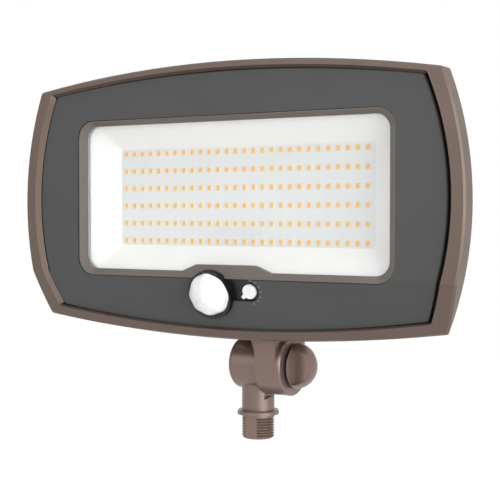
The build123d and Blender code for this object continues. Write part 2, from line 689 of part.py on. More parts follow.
def arm_pad(bottom, top):
    """The raised pad under the box that the arm plate is screwed to."""
    left = -ARM_PLATE_LEFT - PAD_SIDE_MARGIN
    right = ARM_PLATE_RIGHT + PAD_SIDE_MARGIN
    return xz_box(left, right, bottom, top, PAD_FRONT, PAD_BACK)


def optics_cavity():
    """The pocket for the window frame and lens, then the tapered space for reflector and board."""
    skirt = FRAME_SKIRT + FRAME_FIT + GLASS_FIT
    pocket = rounded_window(
        GLASS_HALF_WIDTH + skirt, GLASS_TOP + skirt, GLASS_BOTTOM + skirt, GLASS_ROUND + skirt
    )
    space = along_y(pocket, RECESS_FLOOR - RECESS_FLOOR_DEPTH, LEDGE)
    mouth = mouth_outline()
    floor = rounded_window(
        TRAY_HALF_WIDTH + TRAY_FIT, TRAY_HALF_HEIGHT + TRAY_FIT, TRAY_HALF_HEIGHT + TRAY_FIT, GLASS_ROUND / 2
    )
    return space + loft([Pos(0, LEDGE, 0) * mouth, Pos(0, CAVITY_FLOOR, 0) * floor], ruled=True)


def driver_space():
    half = DRIVER_POCKET_HALF_WIDTH
    height = DRIVER_POCKET_HALF_HEIGHT
    space = xz_box(-half, half, -height, height, CAVITY_FLOOR, DRIVER_BACK)
    lower = half - WIRE_SPACE_SIDE
    space += xz_box(-lower, lower, -WIRE_SPACE_BOTTOM, 0, WIRE_SPACE_FRONT, DRIVER_BACK)
    channel = xz_box(
        WIRE_HOLE_X - WIRE_CHANNEL_DEPTH / 2,
        WIRE_HOLE_X + WIRE_CHANNEL_DEPTH / 2,
        PAD_BOTTOM,
        -WIRE_SPACE_BOTTOM,
        LED_PLANE_SETBACK - WIRE_CHANNEL_WIDTH / 2,
        LED_PLANE_SETBACK + WIRE_CHANNEL_WIDTH / 2,
    )
    return space + channel


def sensor_space():
    body = chin_box(
        -SENSOR_BODY_LEFT - SENSOR_FIT,
        SENSOR_BODY_RIGHT + SENSOR_FIT,
        SENSOR_BODY_UP - SENSOR_FIT,
        SENSOR_BODY_DOWN + SENSOR_FIT,
        PLATE_UNDER - SENSOR_BODY_DEPTH - SENSOR_FIT,
        SENSOR_FLOOR + SENSOR_FIT,
    )
    y, z = sensor_lead_start()
    return body + y_cylinder(LEAD_HOLE_RADIUS, y, WIRE_SPACE_FRONT, SENSOR_LEAD_X, z)


def peg_places():
    places = [(x, z) for x in (-PEG_SIDE_X, PEG_SIDE_X) for z in (-PEG_SIDE_Z, PEG_SIDE_Z)]
    places += [(x, PEG_TOP_Z) for x in (-PEG_TOP_X, PEG_TOP_X)]
    return places + [(x, -PEG_CHIN_Z) for x in (-PEG_CHIN_X, PEG_CHIN_X)]


def frame_screw_places():
    side = WINDOW_HALF_WIDTH + FRAME_SCREW_INSET
    top = WINDOW_TOP + FRAME_SCREW_INSET
    places = [(x, z) for x in (-side, side) for z in (-FRAME_SCREW_SIDE_Z, 0, FRAME_SCREW_SIDE_Z)]
    return places + [(x, top) for x in (-FRAME_SCREW_TOP_X, 0, FRAME_SCREW_TOP_X)]


def board_screw_places():
    across = (-BOARD_SCREW_OUTER_X, -BOARD_SCREW_INNER_X, BOARD_SCREW_INNER_X, BOARD_SCREW_OUTER_X)
    return [(x, z) for x in across for z in (-BOARD_SCREW_Z, BOARD_SCREW_Z)]


def driver_screw_places():
    return [(x, z) for x in (-DRIVER_FOOT_X, DRIVER_FOOT_X) for z in (-DRIVER_SCREW_Z, DRIVER_SCREW_Z)]


def ear_screw_places():
    left = -SENSOR_BODY_LEFT - SENSOR_EAR / 2
    right = SENSOR_BODY_RIGHT + SENSOR_EAR / 2
    return [(left, SENSOR_EAR_SCREW_DOWN), (right, SENSOR_EAR_SCREW_DOWN)]


def sensor_lead_start():
    """Y and Z of the point where the sensor's lead leaves its board."""
    depth = SENSOR_BOARD_SETBACK + SENSOR_BOARD_THICKNESS
    y = PLATE_FRONT + SENSOR_LEAD_DOWN * CHIN_SIN + depth * CHIN_COS + LEAD_RADIUS * CHIN_TAN
    z = -CHIN_START - SENSOR_LEAD_DOWN * CHIN_COS + depth * CHIN_SIN
    return y, z


def y_screw(radius, head_radius, head_height, length, seat, x, z):
    """A plain screw along Y whose head's underside is at y = seat."""
    head = y_cylinder(head_radius, seat - head_height, seat, x, z)
    head = chamfer(head.edges().group_by(Axis.Y)[0], head_height / 4)
    return head + y_cylinder(radius, seat, seat + length, x, z)


def housing():
    outline = outer_outline()
    shell = along_y(outline, -RIM_FRONT, WALL_BACK)
    lip_top = -BOTTOM_DEPTH + BOTTOM_BOW
    lip = along_y(outline, WALL_BACK, WALL_BACK + LIP_EXTRA_DEPTH)
    shell += lip & xz_box(-REACH, REACH, -REACH, lip_top, -REACH, REACH)
    shell = shell & bent_slab(-RIM_FRONT, REACH)
    shell = chamfer(bent_edges(shell, -RIM_FRONT), RIM_OUTER_CHAMFER)
    back = loft([Pos(0, WALL_BACK, 0) * outline, Pos(0, BACK_PLANE, 0) * back_outline()], ruled=True)
    shell += back & bent_slab(-RIM_FRONT + 2 * RIM_OUTER_CHAMFER, REACH)
    recess = bent_layer(recess_outline(), -RIM_FRONT, RECESS_FLOOR)
    shell -= recess
    shell -= arm_pad(-REACH, PAD_BOTTOM)
    shell += driver_box()
    shell += arm_pad(PAD_BOTTOM, -BOX_BOTTOM + 2 * BOX_ROUND)
    for side in (-1, 1):
        for i in range(FIN_COUNT):
            shell += fin(side * (FIN_FIRST_X + i * FIN_PITCH))
    shell -= optics_cavity()
    shell -= driver_space()
    shell -= sensor_space()
    for x, z in peg_places():
        post = y_cylinder(PEG_POST_RADIUS, -RIM_FRONT, CAVITY_FLOOR, x, z)
        shell += post & bent_slab(PLATE_BACK, RECESS_FLOOR + PEG_LENGTH)
        shell -= y_cylinder(
            PEG_RADIUS + PEG_CLEARANCE,
            bent_depth(z, PLATE_BACK) - PEG_LENGTH,
            bent_depth(z, PLATE_BACK) + PEG_LENGTH + PEG_CLEARANCE,
            x,
            z,
        )
    for x, z in frame_screw_places():
        tip = PLATE_BACK + FRAME_SCREW_FIT + FRAME_SCREW_HEAD_HEIGHT + FRAME_SCREW_LENGTH
        shell -= y_cylinder(FRAME_SCREW_RADIUS, RECESS_FLOOR, tip, x, z)
    for x, z in board_screw_places():
        shell -= y_cylinder(BOARD_SCREW_RADIUS, CAVITY_FLOOR, BOARD_BACK + BOARD_SCREW_LENGTH, x, z)
    for x, z in driver_screw_places():
        tip = DRIVER_BACK - DRIVER_FOOT_THICKNESS + DRIVER_SCREW_LENGTH
        shell -= y_cylinder(DRIVER_SCREW_RADIUS, DRIVER_BACK, tip, x, z)
    for x, y in arm_screw_places():
        tip = PAD_BOTTOM - ARM_GASKET_THICKNESS - ARM_PLATE_THICKNESS + ARM_SCREW_LENGTH
        shell -= z_cylinder(ARM_SCREW_RADIUS, PAD_BOTTOM, tip, x, y + LED_PLANE_SETBACK)
    for x, down in ear_screw_places():
        tip = PLATE_UNDER - SENSOR_SCREW_HEAD_HEIGHT - SENSOR_SCREW_LENGTH
        shell -= chin_cylinder(SENSOR_SCREW_RADIUS, tip, SENSOR_FLOOR, x, down)
    shell -= y_cylinder(VENT_STEM_RADIUS, DRIVER_BACK, BOX_BACK, VENT_X, -VENT_DOWN)
    return shell


# ---------------------------------------------------------------- front plate and window


def sensor_opening(fit):
    """The chin outline of the collar, the selector's pocket and the slot between them."""
    collar = Pos(SENSOR_X, -SENSOR_DOWN) * Circle(COLLAR_RADIUS + fit)
    pocket = Pos(SELECTOR_X, -SELECTOR_DOWN) * Circle(SELECTOR_POCKET_RADIUS + fit)
    bottom = SELECTOR_DOWN + SELECTOR_POCKET_RADIUS + fit
    top = SELECTOR_POCKET_UP - fit
    slot = Rectangle(SELECTOR_X - SENSOR_X, bottom - top)
    return collar + pocket + Pos((SENSOR_X + SELECTOR_X) / 2, -(top + bottom) / 2) * slot


def face_plate():
    plate = bent_layer(plate_outline(), PLATE_FRONT, PLATE_BACK)
    flat_edges = [edge for edge in bent_edges(plate, PLATE_FRONT) if edge.center().Z > -CHIN_START + CORNER_ROUND]
    plate = chamfer(flat_edges, PLATE_CHAMFER)
    window = rounded_window(WINDOW_HALF_WIDTH, WINDOW_TOP, WINDOW_BOTTOM, WINDOW_ROUND)
    plate -= along_y(window, -RIM_FRONT, CAVITY_FLOOR)
    opening = sensor_opening(SENSOR_OPENING_FIT)
    above = Pos((SENSOR_X + SELECTOR_X) / 2, 0) * Rectangle(SELECTOR_X - SENSOR_X, 2 * SELECTOR_POCKET_UP + 2)
    cut = extrude(opening + above, amount=2 * PLATE_THICKNESS, both=True)
    plate -= on_chin(0, 0, 0, cut)
    for x, z in peg_places():
        start = bent_depth(z, PLATE_BACK)
        plate += y_cylinder(PEG_RADIUS, start - PLATE_THICKNESS / 2, start + PEG_LENGTH, x, z)
    return plate


def window_frame():
    """Flange under the plate, sloped band, lip over the lens, skirt round it and the raised notch."""
    fill_width = WINDOW_HALF_WIDTH - WINDOW_EDGE_GAP
    fill_top = WINDOW_TOP - WINDOW_EDGE_GAP
    fill_bottom = WINDOW_BOTTOM - WINDOW_EDGE_GAP
    fill_round = WINDOW_ROUND - WINDOW_EDGE_GAP
    flange = rounded_window(
        WINDOW_HALF_WIDTH + FRAME_FLANGE,
        WINDOW_TOP + FRAME_FLANGE,
        WINDOW_BOTTOM + FRAME_FLANGE_BELOW,
        WINDOW_ROUND,
    )
    frame = bent_layer(flange, PLATE_BACK, RECESS_FLOOR)
    front = PLATE_FRONT + BEZEL_SETBACK
    frame += along_y(rounded_window(fill_width, fill_top, fill_bottom, fill_round), front, GLASS_FRONT)
    skirt = FRAME_SKIRT + GLASS_FIT
    skirt_face = rounded_window(
        GLASS_HALF_WIDTH + skirt, GLASS_TOP + skirt, GLASS_BOTTOM + skirt, GLASS_ROUND + skirt
    )
    frame += along_y(skirt_face, -LIP_FRONT, GLASS_BACK)
    land = BEZEL_LAND
    wide = rounded_window(fill_width - land, fill_top - land, fill_bottom - land, fill_round - land)
    sight = rounded_window(SIGHT_HALF_WIDTH, SIGHT_TOP, SIGHT_BOTTOM, SIGHT_ROUND)
    frame -= loft([Pos(0, front, 0) * wide, Pos(0, -LIP_FRONT, 0) * sight], ruled=True)
    slope = (NOTCH_FOOT_HALF_WIDTH - NOTCH_TOP_HALF_WIDTH) / NOTCH_HEIGHT
    foot = NOTCH_FOOT_HALF_WIDTH + slope * (fill_bottom - SIGHT_BOTTOM)
    frame -= along_y(sight, -LIP_FRONT, CAVITY_FLOOR)
    notch = Polyline(
        (-foot, 0, -fill_bottom),
        (foot, 0, -fill_bottom),
        (NOTCH_TOP_HALF_WIDTH, 0, -SIGHT_BOTTOM + NOTCH_HEIGHT),
        (-NOTCH_TOP_HALF_WIDTH, 0, -SIGHT_BOTTOM + NOTCH_HEIGHT),
        close=True,
    )
    frame += along_y(make_face(notch), -NOTCH_FRONT, GLASS_FRONT)
    glass = rounded_window(
        GLASS_HALF_WIDTH + GLASS_FIT, GLASS_TOP + GLASS_FIT, GLASS_BOTTOM + GLASS_FIT, GLASS_ROUND + GLASS_FIT
    )
    frame -= along_y(glass, GLASS_FRONT, CAVITY_FLOOR)
    collar = extrude(sensor_opening(SENSOR_OPENING_FIT), amount=COLLAR_RADIUS)
    frame -= on_chin(0, 0, PLATE_UNDER, collar)
    for x, z in frame_screw_places():
        seat = PLATE_BACK + FRAME_SCREW_FIT + FRAME_SCREW_HEAD_HEIGHT
        frame -= y_cylinder(FRAME_SCREW_HEAD_RADIUS + FRAME_SCREW_FIT, PLATE_BACK, seat, x, z)
        frame -= y_cylinder(FRAME_SCREW_RADIUS, seat, RECESS_FLOOR, x, z)
    return frame


def frame_screws():
    seat = PLATE_BACK + FRAME_SCREW_FIT + FRAME_SCREW_HEAD_HEIGHT
    return [
        y_screw(FRAME_SCREW_RADIUS, FRAME_SCREW_HEAD_RADIUS, FRAME_SCREW_HEAD_HEIGHT, FRAME_SCREW_LENGTH, seat, x, z)
        for x, z in frame_screw_places()
    ]


def lens_cover():
    return along_y(rounded_window(GLASS_HALF_WIDTH, GLASS_TOP, GLASS_BOTTOM, GLASS_ROUND), GLASS_FRONT, GLASS_BACK)


# ---------------------------------------------------------------- reflector, LEDs and driver


def mouth_outline():
    margin = REFLECTOR_MOUTH_MARGIN
    return rounded_window(
        SIGHT_HALF_WIDTH + margin, SIGHT_TOP + margin, SIGHT_BOTTOM + margin, SIGHT_ROUND + margin
    )


def lens_gasket():
    front = GLASS_BACK + REFLECTOR_FLANGE
    ring = along_y(rounded_window(GLASS_HALF_WIDTH, GLASS_TOP, GLASS_BOTTOM, GLASS_ROUND), front, LEDGE)
    return ring - along_y(mouth_outline(), front, LEDGE)


def reflector():
    fit = REFLECTOR_FIT
    flange = rounded_window(GLASS_HALF_WIDTH - fit, GLASS_TOP - fit, GLASS_BOTTOM - fit, GLASS_ROUND - fit)
    tray = along_y(flange, GLASS_BACK, GLASS_BACK + REFLECTOR_FLANGE)
    side = REFLECTOR_WALL_SIDE
    rise = REFLECTOR_WALL_TOP
    margin = REFLECTOR_MOUTH_MARGIN
    mouth_width = SIGHT_HALF_WIDTH + margin
    mouth_top = SIGHT_TOP + margin
    mouth_bottom = SIGHT_BOTTOM + margin
    mouth_round = SIGHT_ROUND + margin
    outer_mouth = rounded_window(mouth_width + side, mouth_top + rise, mouth_bottom + rise, mouth_round + rise)
    foot_width = BOARD_SIGHT_HALF_WIDTH
    foot_height = BOARD_SIGHT_HALF_HEIGHT
    foot_round = REFLECTOR_FOOT_ROUND
    outer_foot = rounded_window(foot_width + side, foot_height + rise, foot_height + rise, foot_round + rise)
    inner_foot = rounded_window(foot_width, foot_height, foot_height, foot_round)
    tray += loft([Pos(0, GLASS_BACK, 0) * outer_mouth, Pos(0, BOARD_FRONT, 0) * outer_foot], ruled=True)
    return tray - loft([Pos(0, GLASS_BACK, 0) * mouth_outline(), Pos(0, BOARD_FRONT, 0) * inner_foot], ruled=True)


def led_board():
    return xz_box(
        -BOARD_HALF_WIDTH, BOARD_HALF_WIDTH, -BOARD_HALF_HEIGHT, BOARD_HALF_HEIGHT, BOARD_FRONT, BOARD_BACK
    )


def led_row(row):
    """One row of chips; row 1 is the top one."""
    z = ((LED_ROWS + 1) / 2 - row) * LED_PITCH_Z
    chips = []
    for column in range(LED_COLUMNS):
        x = (column - (LED_COLUMNS - 1) / 2) * LED_PITCH_X
        chips.append(Pos(x, LED_THICKNESS / 2, z) * Box(LED_WIDTH, LED_THICKNESS, LED_HEIGHT))
    return chips


def heat_tray():
    tray = xz_box(
        -TRAY_HALF_WIDTH, TRAY_HALF_WIDTH, -TRAY_HALF_HEIGHT, TRAY_HALF_HEIGHT, BOARD_BACK, CAVITY_FLOOR
    )
    tray = fillet(tray.edges().filter_by(Axis.Y), GLASS_ROUND / 2)
    tray -= y_cylinder(TRAY_HOLE_RADIUS, BOARD_BACK, CAVITY_FLOOR)
    for x, z in board_screw_places():
        tray -= y_cylinder(BOARD_SCREW_RADIUS, BOARD_BACK, CAVITY_FLOOR, x, z)
    return tray


def board_screws():
    return [
        y_screw(BOARD_SCREW_RADIUS, BOARD_SCREW_HEAD_RADIUS, BOARD_SCREW_HEAD_HEIGHT, BOARD_SCREW_LENGTH, BOARD_BACK, x, z)
        for x, z in board_screw_places()
    ]


def driver():
    width = DRIVER_HALF_WIDTH
    case = xz_box(-width, width, -DRIVER_HALF_HEIGHT, DRIVER_HALF_HEIGHT, DRIVER_FRONT, DRIVER_BACK)
    case = chamfer(case.edges().group_by(Axis.Y)[0], DRIVER_FOOT_THICKNESS / 2)
    reach = DRIVER_HALF_HEIGHT + DRIVER_FOOT_LENGTH
    for x in (-DRIVER_FOOT_X, DRIVER_FOOT_X):
        left = x - DRIVER_FOOT_HALF_WIDTH
        right = x + DRIVER_FOOT_HALF_WIDTH
        case += xz_box(left, right, -reach, reach, DRIVER_BACK - DRIVER_FOOT_THICKNESS, DRIVER_BACK)
    for x, z in driver_screw_places():
        case -= y_cylinder(DRIVER_SCREW_RADIUS, DRIVER_BACK - DRIVER_FOOT_THICKNESS, DRIVER_BACK, x, z)
    return case


def driver_screws():
    seat = DRIVER_BACK - DRIVER_FOOT_THICKNESS
    return [
        y_screw(
            DRIVER_SCREW_RADIUS, DRIVER_SCREW_HEAD_RADIUS, DRIVER_SCREW_HEAD_HEIGHT, DRIVER_SCREW_LENGTH, seat, x, z
        )
        for x, z in driver_screw_places()
    ]


def led_leads():
    return [y_cylinder(LEAD_RADIUS, BOARD_BACK, DRIVER_FRONT, x) for x in (-LEAD_SPACING / 2, LEAD_SPACING / 2)]


def sensor_lead():
    """From the sensor board back through the wall, then up to the driver's underside."""
    y, z = sensor_lead_start()
    x = SENSOR_LEAD_X
    start = Line((x, y, z), (x, SENSOR_LEAD_TURN_Y - SENSOR_LEAD_BEND, z))
    middle = SENSOR_LEAD_BEND * (1 - math.cos(math.radians(45)))
    turn = ThreePointArc(
        (x, SENSOR_LEAD_TURN_Y - SENSOR_LEAD_BEND, z),
        (x, SENSOR_LEAD_TURN_Y - middle, z + middle),
        (x, SENSOR_LEAD_TURN_Y, z + SENSOR_LEAD_BEND),
    )
    rise = Line((x, SENSOR_LEAD_TURN_Y, z + SENSOR_LEAD_BEND), (x, SENSOR_LEAD_TURN_Y, -DRIVER_HALF_HEIGHT))
    path = start + turn + rise
    section = Plane(origin=(x, y, z), z_dir=(0, 1, 0)) * Circle(LEAD_RADIUS)
    return sweep(section, path=path)


def breather_vent():
    """A vent plug in the box's back wall."""
    plug = y_cylinder(VENT_RADIUS, BOX_BACK, BOX_BACK + VENT_HEIGHT, VENT_X, -VENT_DOWN)
    plug = fillet(plug.edges().group_by(Axis.Y)[-1], VENT_HEIGHT / 4)
    return plug + y_cylinder(VENT_STEM_RADIUS, DRIVER_BACK, BOX_BACK, VENT_X, -VENT_DOWN)


# ---------------------------------------------------------------- sensor and selector


def sensor_housing():
    """Face with ears between plate and recess floor, raised collar, selector pocket and the body box."""
    left = -SENSOR_BODY_LEFT
    right = SENSOR_BODY_RIGHT
    body_back = PLATE_UNDER - SENSOR_BODY_DEPTH
    unit = chin_box(left - SENSOR_EAR, right + SENSOR_EAR, SENSOR_FACE_UP, SENSOR_BODY_DOWN, SENSOR_FLOOR, PLATE_UNDER)
    unit += chin_box(left, right, SENSOR_BODY_UP, SENSOR_BODY_DOWN, body_back, SENSOR_FLOOR)
    wall = SENSOR_BODY_WALL
    unit -= chin_box(
        left + wall, right - wall, SENSOR_BODY_UP + wall, SENSOR_BODY_DOWN - wall, body_back, SENSOR_FLOOR
    )
    boss = extrude(sensor_opening(0), amount=-SELECTOR_POCKET_DEPTH - PLATE_UNDER)
    unit += on_chin(0, 0, PLATE_UNDER, boss)
    seat = -DOME_SEAT_DEPTH
    unit += chin_cylinder(COLLAR_RADIUS, PLATE_UNDER, COLLAR_LIFT, SENSOR_X, SENSOR_DOWN)
    unit -= chin_cylinder(DOME_RADIUS + DOME_FIT, seat, COLLAR_LIFT, SENSOR_X, SENSOR_DOWN)
    unit -= chin_cylinder(ELEMENT_HOLE_RADIUS, SENSOR_FLOOR, seat, SENSOR_X, SENSOR_DOWN)
    for x in (-SENSOR_SCREW_X, SENSOR_SCREW_X):
        unit += chin_cylinder(SENSOR_POST_RADIUS, -SENSOR_BOARD_SETBACK, SENSOR_FLOOR, x, SENSOR_SCREW_DOWN)
        tip = -SENSOR_BOARD_SETBACK - SENSOR_BOARD_THICKNESS + SENSOR_SCREW_LENGTH
        unit -= chin_cylinder(SENSOR_SCREW_RADIUS, -SENSOR_BOARD_SETBACK, tip, x, SENSOR_SCREW_DOWN)
    for x, down in ear_screw_places():
        seat = PLATE_UNDER - SENSOR_SCREW_HEAD_HEIGHT
        unit -= chin_cylinder(SENSOR_SCREW_HEAD_RADIUS, seat, PLATE_UNDER, x, down)
        unit -= chin_cylinder(SENSOR_SCREW_RADIUS, SENSOR_FLOOR, seat, x, down)
    stem = SELECTOR_STEM_RADIUS + SELECTOR_STEM_CLEARANCE
    floor = -SELECTOR_POCKET_DEPTH
    unit -= chin_cylinder(stem, SENSOR_FLOOR, floor, SELECTOR_X, SELECTOR_DOWN)
    unit -= chin_cylinder(SELECTOR_SEAL_RADIUS, floor - SELECTOR_SEAL_THICKNESS, floor, SELECTOR_X, SELECTOR_DOWN)
    return unit


def sensor_dome():
    seat = -DOME_SEAT_DEPTH
    centre = DOME_BASE_LIFT
    inner = DOME_RADIUS - DOME_WALL
    dome = Pos(0, 0, centre) * Sphere(DOME_RADIUS) - Pos(0, 0, centre) * Sphere(inner)
    dome -= Pos(0, 0, centre - DOME_RADIUS) * Box(2 * REACH, 2 * REACH, 2 * DOME_RADIUS)
    skirt = Cylinder(DOME_RADIUS, centre - seat) - Cylinder(inner, centre - seat)
    dome += Pos(0, 0, (centre + seat) / 2) * skirt
    return on_chin(SENSOR_X, SENSOR_DOWN, 0, dome)


def pir_element():
    board = -SENSOR_BOARD_SETBACK
    can = chin_cylinder(ELEMENT_RADIUS, board, board + ELEMENT_HEIGHT, SENSOR_X, SENSOR_DOWN)
    return can


def sensor_board():
    margin = SENSOR_BODY_WALL + SENSOR_BOARD_MARGIN
    back = -SENSOR_BOARD_SETBACK - SENSOR_BOARD_THICKNESS
    board = chin_box(
        -SENSOR_BODY_LEFT + margin,
        SENSOR_BODY_RIGHT - margin,
        SENSOR_BODY_UP + margin,
        SENSOR_BODY_DOWN - margin,
        back,
        -SENSOR_BOARD_SETBACK,
    )
    for x in (-SENSOR_SCREW_X, SENSOR_SCREW_X):
        board -= chin_cylinder(SENSOR_SCREW_RADIUS, back, -SENSOR_BOARD_SETBACK, x, SENSOR_SCREW_DOWN)
    return board


def small_screw(x, down, seat, direction):
    """A small screw on the chin's normal; direction +1 drives it outward, -1 inward."""
    head_end = seat - direction * SENSOR_SCREW_HEAD_HEIGHT
    tip = seat + direction * SENSOR_SCREW_LENGTH
    head = chin_cylinder(SENSOR_SCREW_HEAD_RADIUS, min(seat, head_end), max(seat, head_end), x, down)
    return head + chin_cylinder(SENSOR_SCREW_RADIUS, min(seat, tip), max(seat, tip), x, down)


def sensor_screws():
    board_back = -SENSOR_BOARD_SETBACK - SENSOR_BOARD_THICKNESS
    screws = [small_screw(x, SENSOR_SCREW_DOWN, board_back, 1) for x in (-SENSOR_SCREW_X, SENSOR_SCREW_X)]
    face = PLATE_UNDER - SENSOR_SCREW_HEAD_HEIGHT
    return screws + [small_screw(x, down, face, -1) for x, down in ear_screw_places()]


def selector_switch():
    board = -SENSOR_BOARD_SETBACK
    left = SELECTOR_X - SWITCH_HALF_WIDTH
    right = SELECTOR_X + SWITCH_HALF_WIDTH
    upper = SELECTOR_DOWN - SWITCH_UP
    lower = SELECTOR_DOWN + SWITCH_DOWN
    switch = chin_box(left, right, upper, lower, board, board + SWITCH_HEIGHT)
    bore = SELECTOR_STEM_RADIUS + SELECTOR_STEM_CLEARANCE
    return switch - chin_cylinder(bore, board + SWITCH_BORE_FLOOR, board + SWITCH_HEIGHT, SELECTOR_X, SELECTOR_DOWN)


def selector_seal():
    floor = -SELECTOR_POCKET_DEPTH
    bottom = floor - SELECTOR_SEAL_THICKNESS
    ring = chin_cylinder(SELECTOR_SEAL_RADIUS, bottom, floor, SELECTOR_X, SELECTOR_DOWN)
    bore = SELECTOR_STEM_RADIUS + SELECTOR_STEM_CLEARANCE
    return ring - chin_cylinder(bore, bottom, floor, SELECTOR_X, SELECTOR_DOWN)


def selector_knob():
    """Disc with a pointer tail that passes over the plate, a ridge on top and the stem below."""
    bottom = -SELECTOR_POCKET_DEPTH + SELECTOR_RUN_GAP
    top = bottom + SELECTOR_HEIGHT
    knob = Pos(0, 0, (bottom + top) / 2) * Cylinder(SELECTOR_RADIUS, SELECTOR_HEIGHT)
    half = SELECTOR_TAIL_WIDTH / 2
    tail = make_face(
        Polyline(
            (0, -SELECTOR_RADIUS * TAIL_SPREAD),
            (SELECTOR_TAIL_LENGTH, -half),
            (SELECTOR_TAIL_LENGTH, half),
            (0, SELECTOR_RADIUS * TAIL_SPREAD),
            close=True,
        )
    )
    knob += Pos(0, 0, SELECTOR_TAIL_LIFT) * extrude(tail, amount=top - SELECTOR_TAIL_LIFT)
    ridge_length = SELECTOR_TAIL_LENGTH + SELECTOR_RADIUS - SELECTOR_RIDGE_WIDTH
    ridge_centre = (SELECTOR_TAIL_LENGTH - SELECTOR_RADIUS) / 2
    ridge = Box(ridge_length, SELECTOR_RIDGE_WIDTH, SELECTOR_RIDGE_HEIGHT)
    knob += Pos(ridge_centre, 0, top + SELECTOR_RIDGE_HEIGHT / 2) * ridge
    knob += Pos(0, 0, (bottom - SELECTOR_STEM_DEPTH) / 2) * Cylinder(SELECTOR_STEM_RADIUS, SELECTOR_STEM_DEPTH + bottom)
    return on_chin(SELECTOR_X, SELECTOR_DOWN, 0, Rot(0, 0, SELECTOR_TAIL_ANGLE) * knob)


# ---------------------------------------------------------------- all nodes


def base_parts():
    keep("lower_arm", lower_arm())
    keep("knuckle_seal", knuckle_seal())
    keep("clamp_bolt", clamp_bolt())
    keep("clamp_washer", clamp_washer())
    keep("clamp_knob", clamp_knob())
    keep("upper_arm", upper_arm())
    keep("arm_gasket", arm_gasket())
    keep("arm_screws", arm_screws())


def head_parts():
    head = {
        "housing": housing(),
        "face_plate": face_plate(),
        "window_frame": window_frame(),
        "frame_screws": frame_screws(),
        "lens_cover": lens_cover(),
        "lens_gasket": lens_gasket(),
        "reflector": reflector(),
        "led_board": led_board(),
        "heat_tray": heat_tray(),
        "board_screws": board_screws(),
        "driver": driver(),
        "driver_screws": driver_screws(),
        "led_leads": led_leads(),
        "sensor_lead": sensor_lead(),
        "breather_vent": breather_vent(),
        "sensor_housing": sensor_housing(),
        "sensor_dome": sensor_dome(),
        "pir_element": pir_element(),
        "sensor_board": sensor_board(),
        "sensor_screws": sensor_screws(),
        "selector_switch": selector_switch(),
        "selector_seal": selector_seal(),
        "selector_knob": selector_knob(),
    }
    for row in range(1, LED_ROWS + 1):
        head[f"led_row_{row}"] = led_row(row)
    for name, shape in head.items():
        if isinstance(shape, list):
            keep(name, [HEAD_PLACE * solid for solid in shape])
        else:
            keep(name, HEAD_PLACE * shape)


if __name__ == "__main__":
    os.makedirs("parts", exist_ok=True)
    base_parts()
    head_parts()
    for name, shape in PARTS.items():
        export_step(Compound(shape) if isinstance(shape, list) else shape, f"parts/{name}.step")
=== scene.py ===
import bpy
import bmesh
import math
from mathutils import Matrix, Vector


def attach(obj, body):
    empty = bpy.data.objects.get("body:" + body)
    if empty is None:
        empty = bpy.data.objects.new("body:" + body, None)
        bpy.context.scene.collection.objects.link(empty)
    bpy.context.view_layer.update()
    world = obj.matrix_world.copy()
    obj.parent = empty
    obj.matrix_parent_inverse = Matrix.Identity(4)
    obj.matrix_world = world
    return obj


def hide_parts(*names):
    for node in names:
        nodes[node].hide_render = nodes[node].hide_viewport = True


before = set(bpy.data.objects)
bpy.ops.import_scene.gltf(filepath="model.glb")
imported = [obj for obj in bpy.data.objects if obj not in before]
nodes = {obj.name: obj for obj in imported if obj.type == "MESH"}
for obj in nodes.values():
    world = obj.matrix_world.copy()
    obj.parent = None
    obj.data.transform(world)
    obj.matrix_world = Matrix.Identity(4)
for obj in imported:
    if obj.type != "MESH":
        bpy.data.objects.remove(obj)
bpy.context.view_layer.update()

# One millimetre in metres. Sizes named below are in millimetres unless their comment says otherwise.
MM = 0.001
# How far the front is bent back below the window.
CHIN = math.radians(18.0)
# Height of the middle of the LED field, in metres.
LED_CENTRE_Z = 0.1416
CHIP_PITCH_X = 6.66
CHIP_PITCH_Z = 11.52
CHIP_HALF_X = 1.4
CHIP_HALF_Z = 1.75


def srgb(r, g, b):
    """A colour as it should render, given as 0-255 display values."""

    def lin(v):
        v = v / 255
        return v / 12.92 if v <= 0.04045 else ((v + 0.055) / 1.055) ** 2.4

    return (lin(r), lin(g), lin(b), 1.0)


# ---------------------------------------------------------------- materials

# The part of a noise's output that is spread over a material's tones: wide for clouds, narrow for lines.
CLOUD = (0.3, 0.7)
LINES = (0.35, 0.65)
# Depths of the bumps, in metres.
COAT_DEPTH = 0.0002
MOULD_DEPTH = 0.0001
LINE_DEPTH = 0.00005


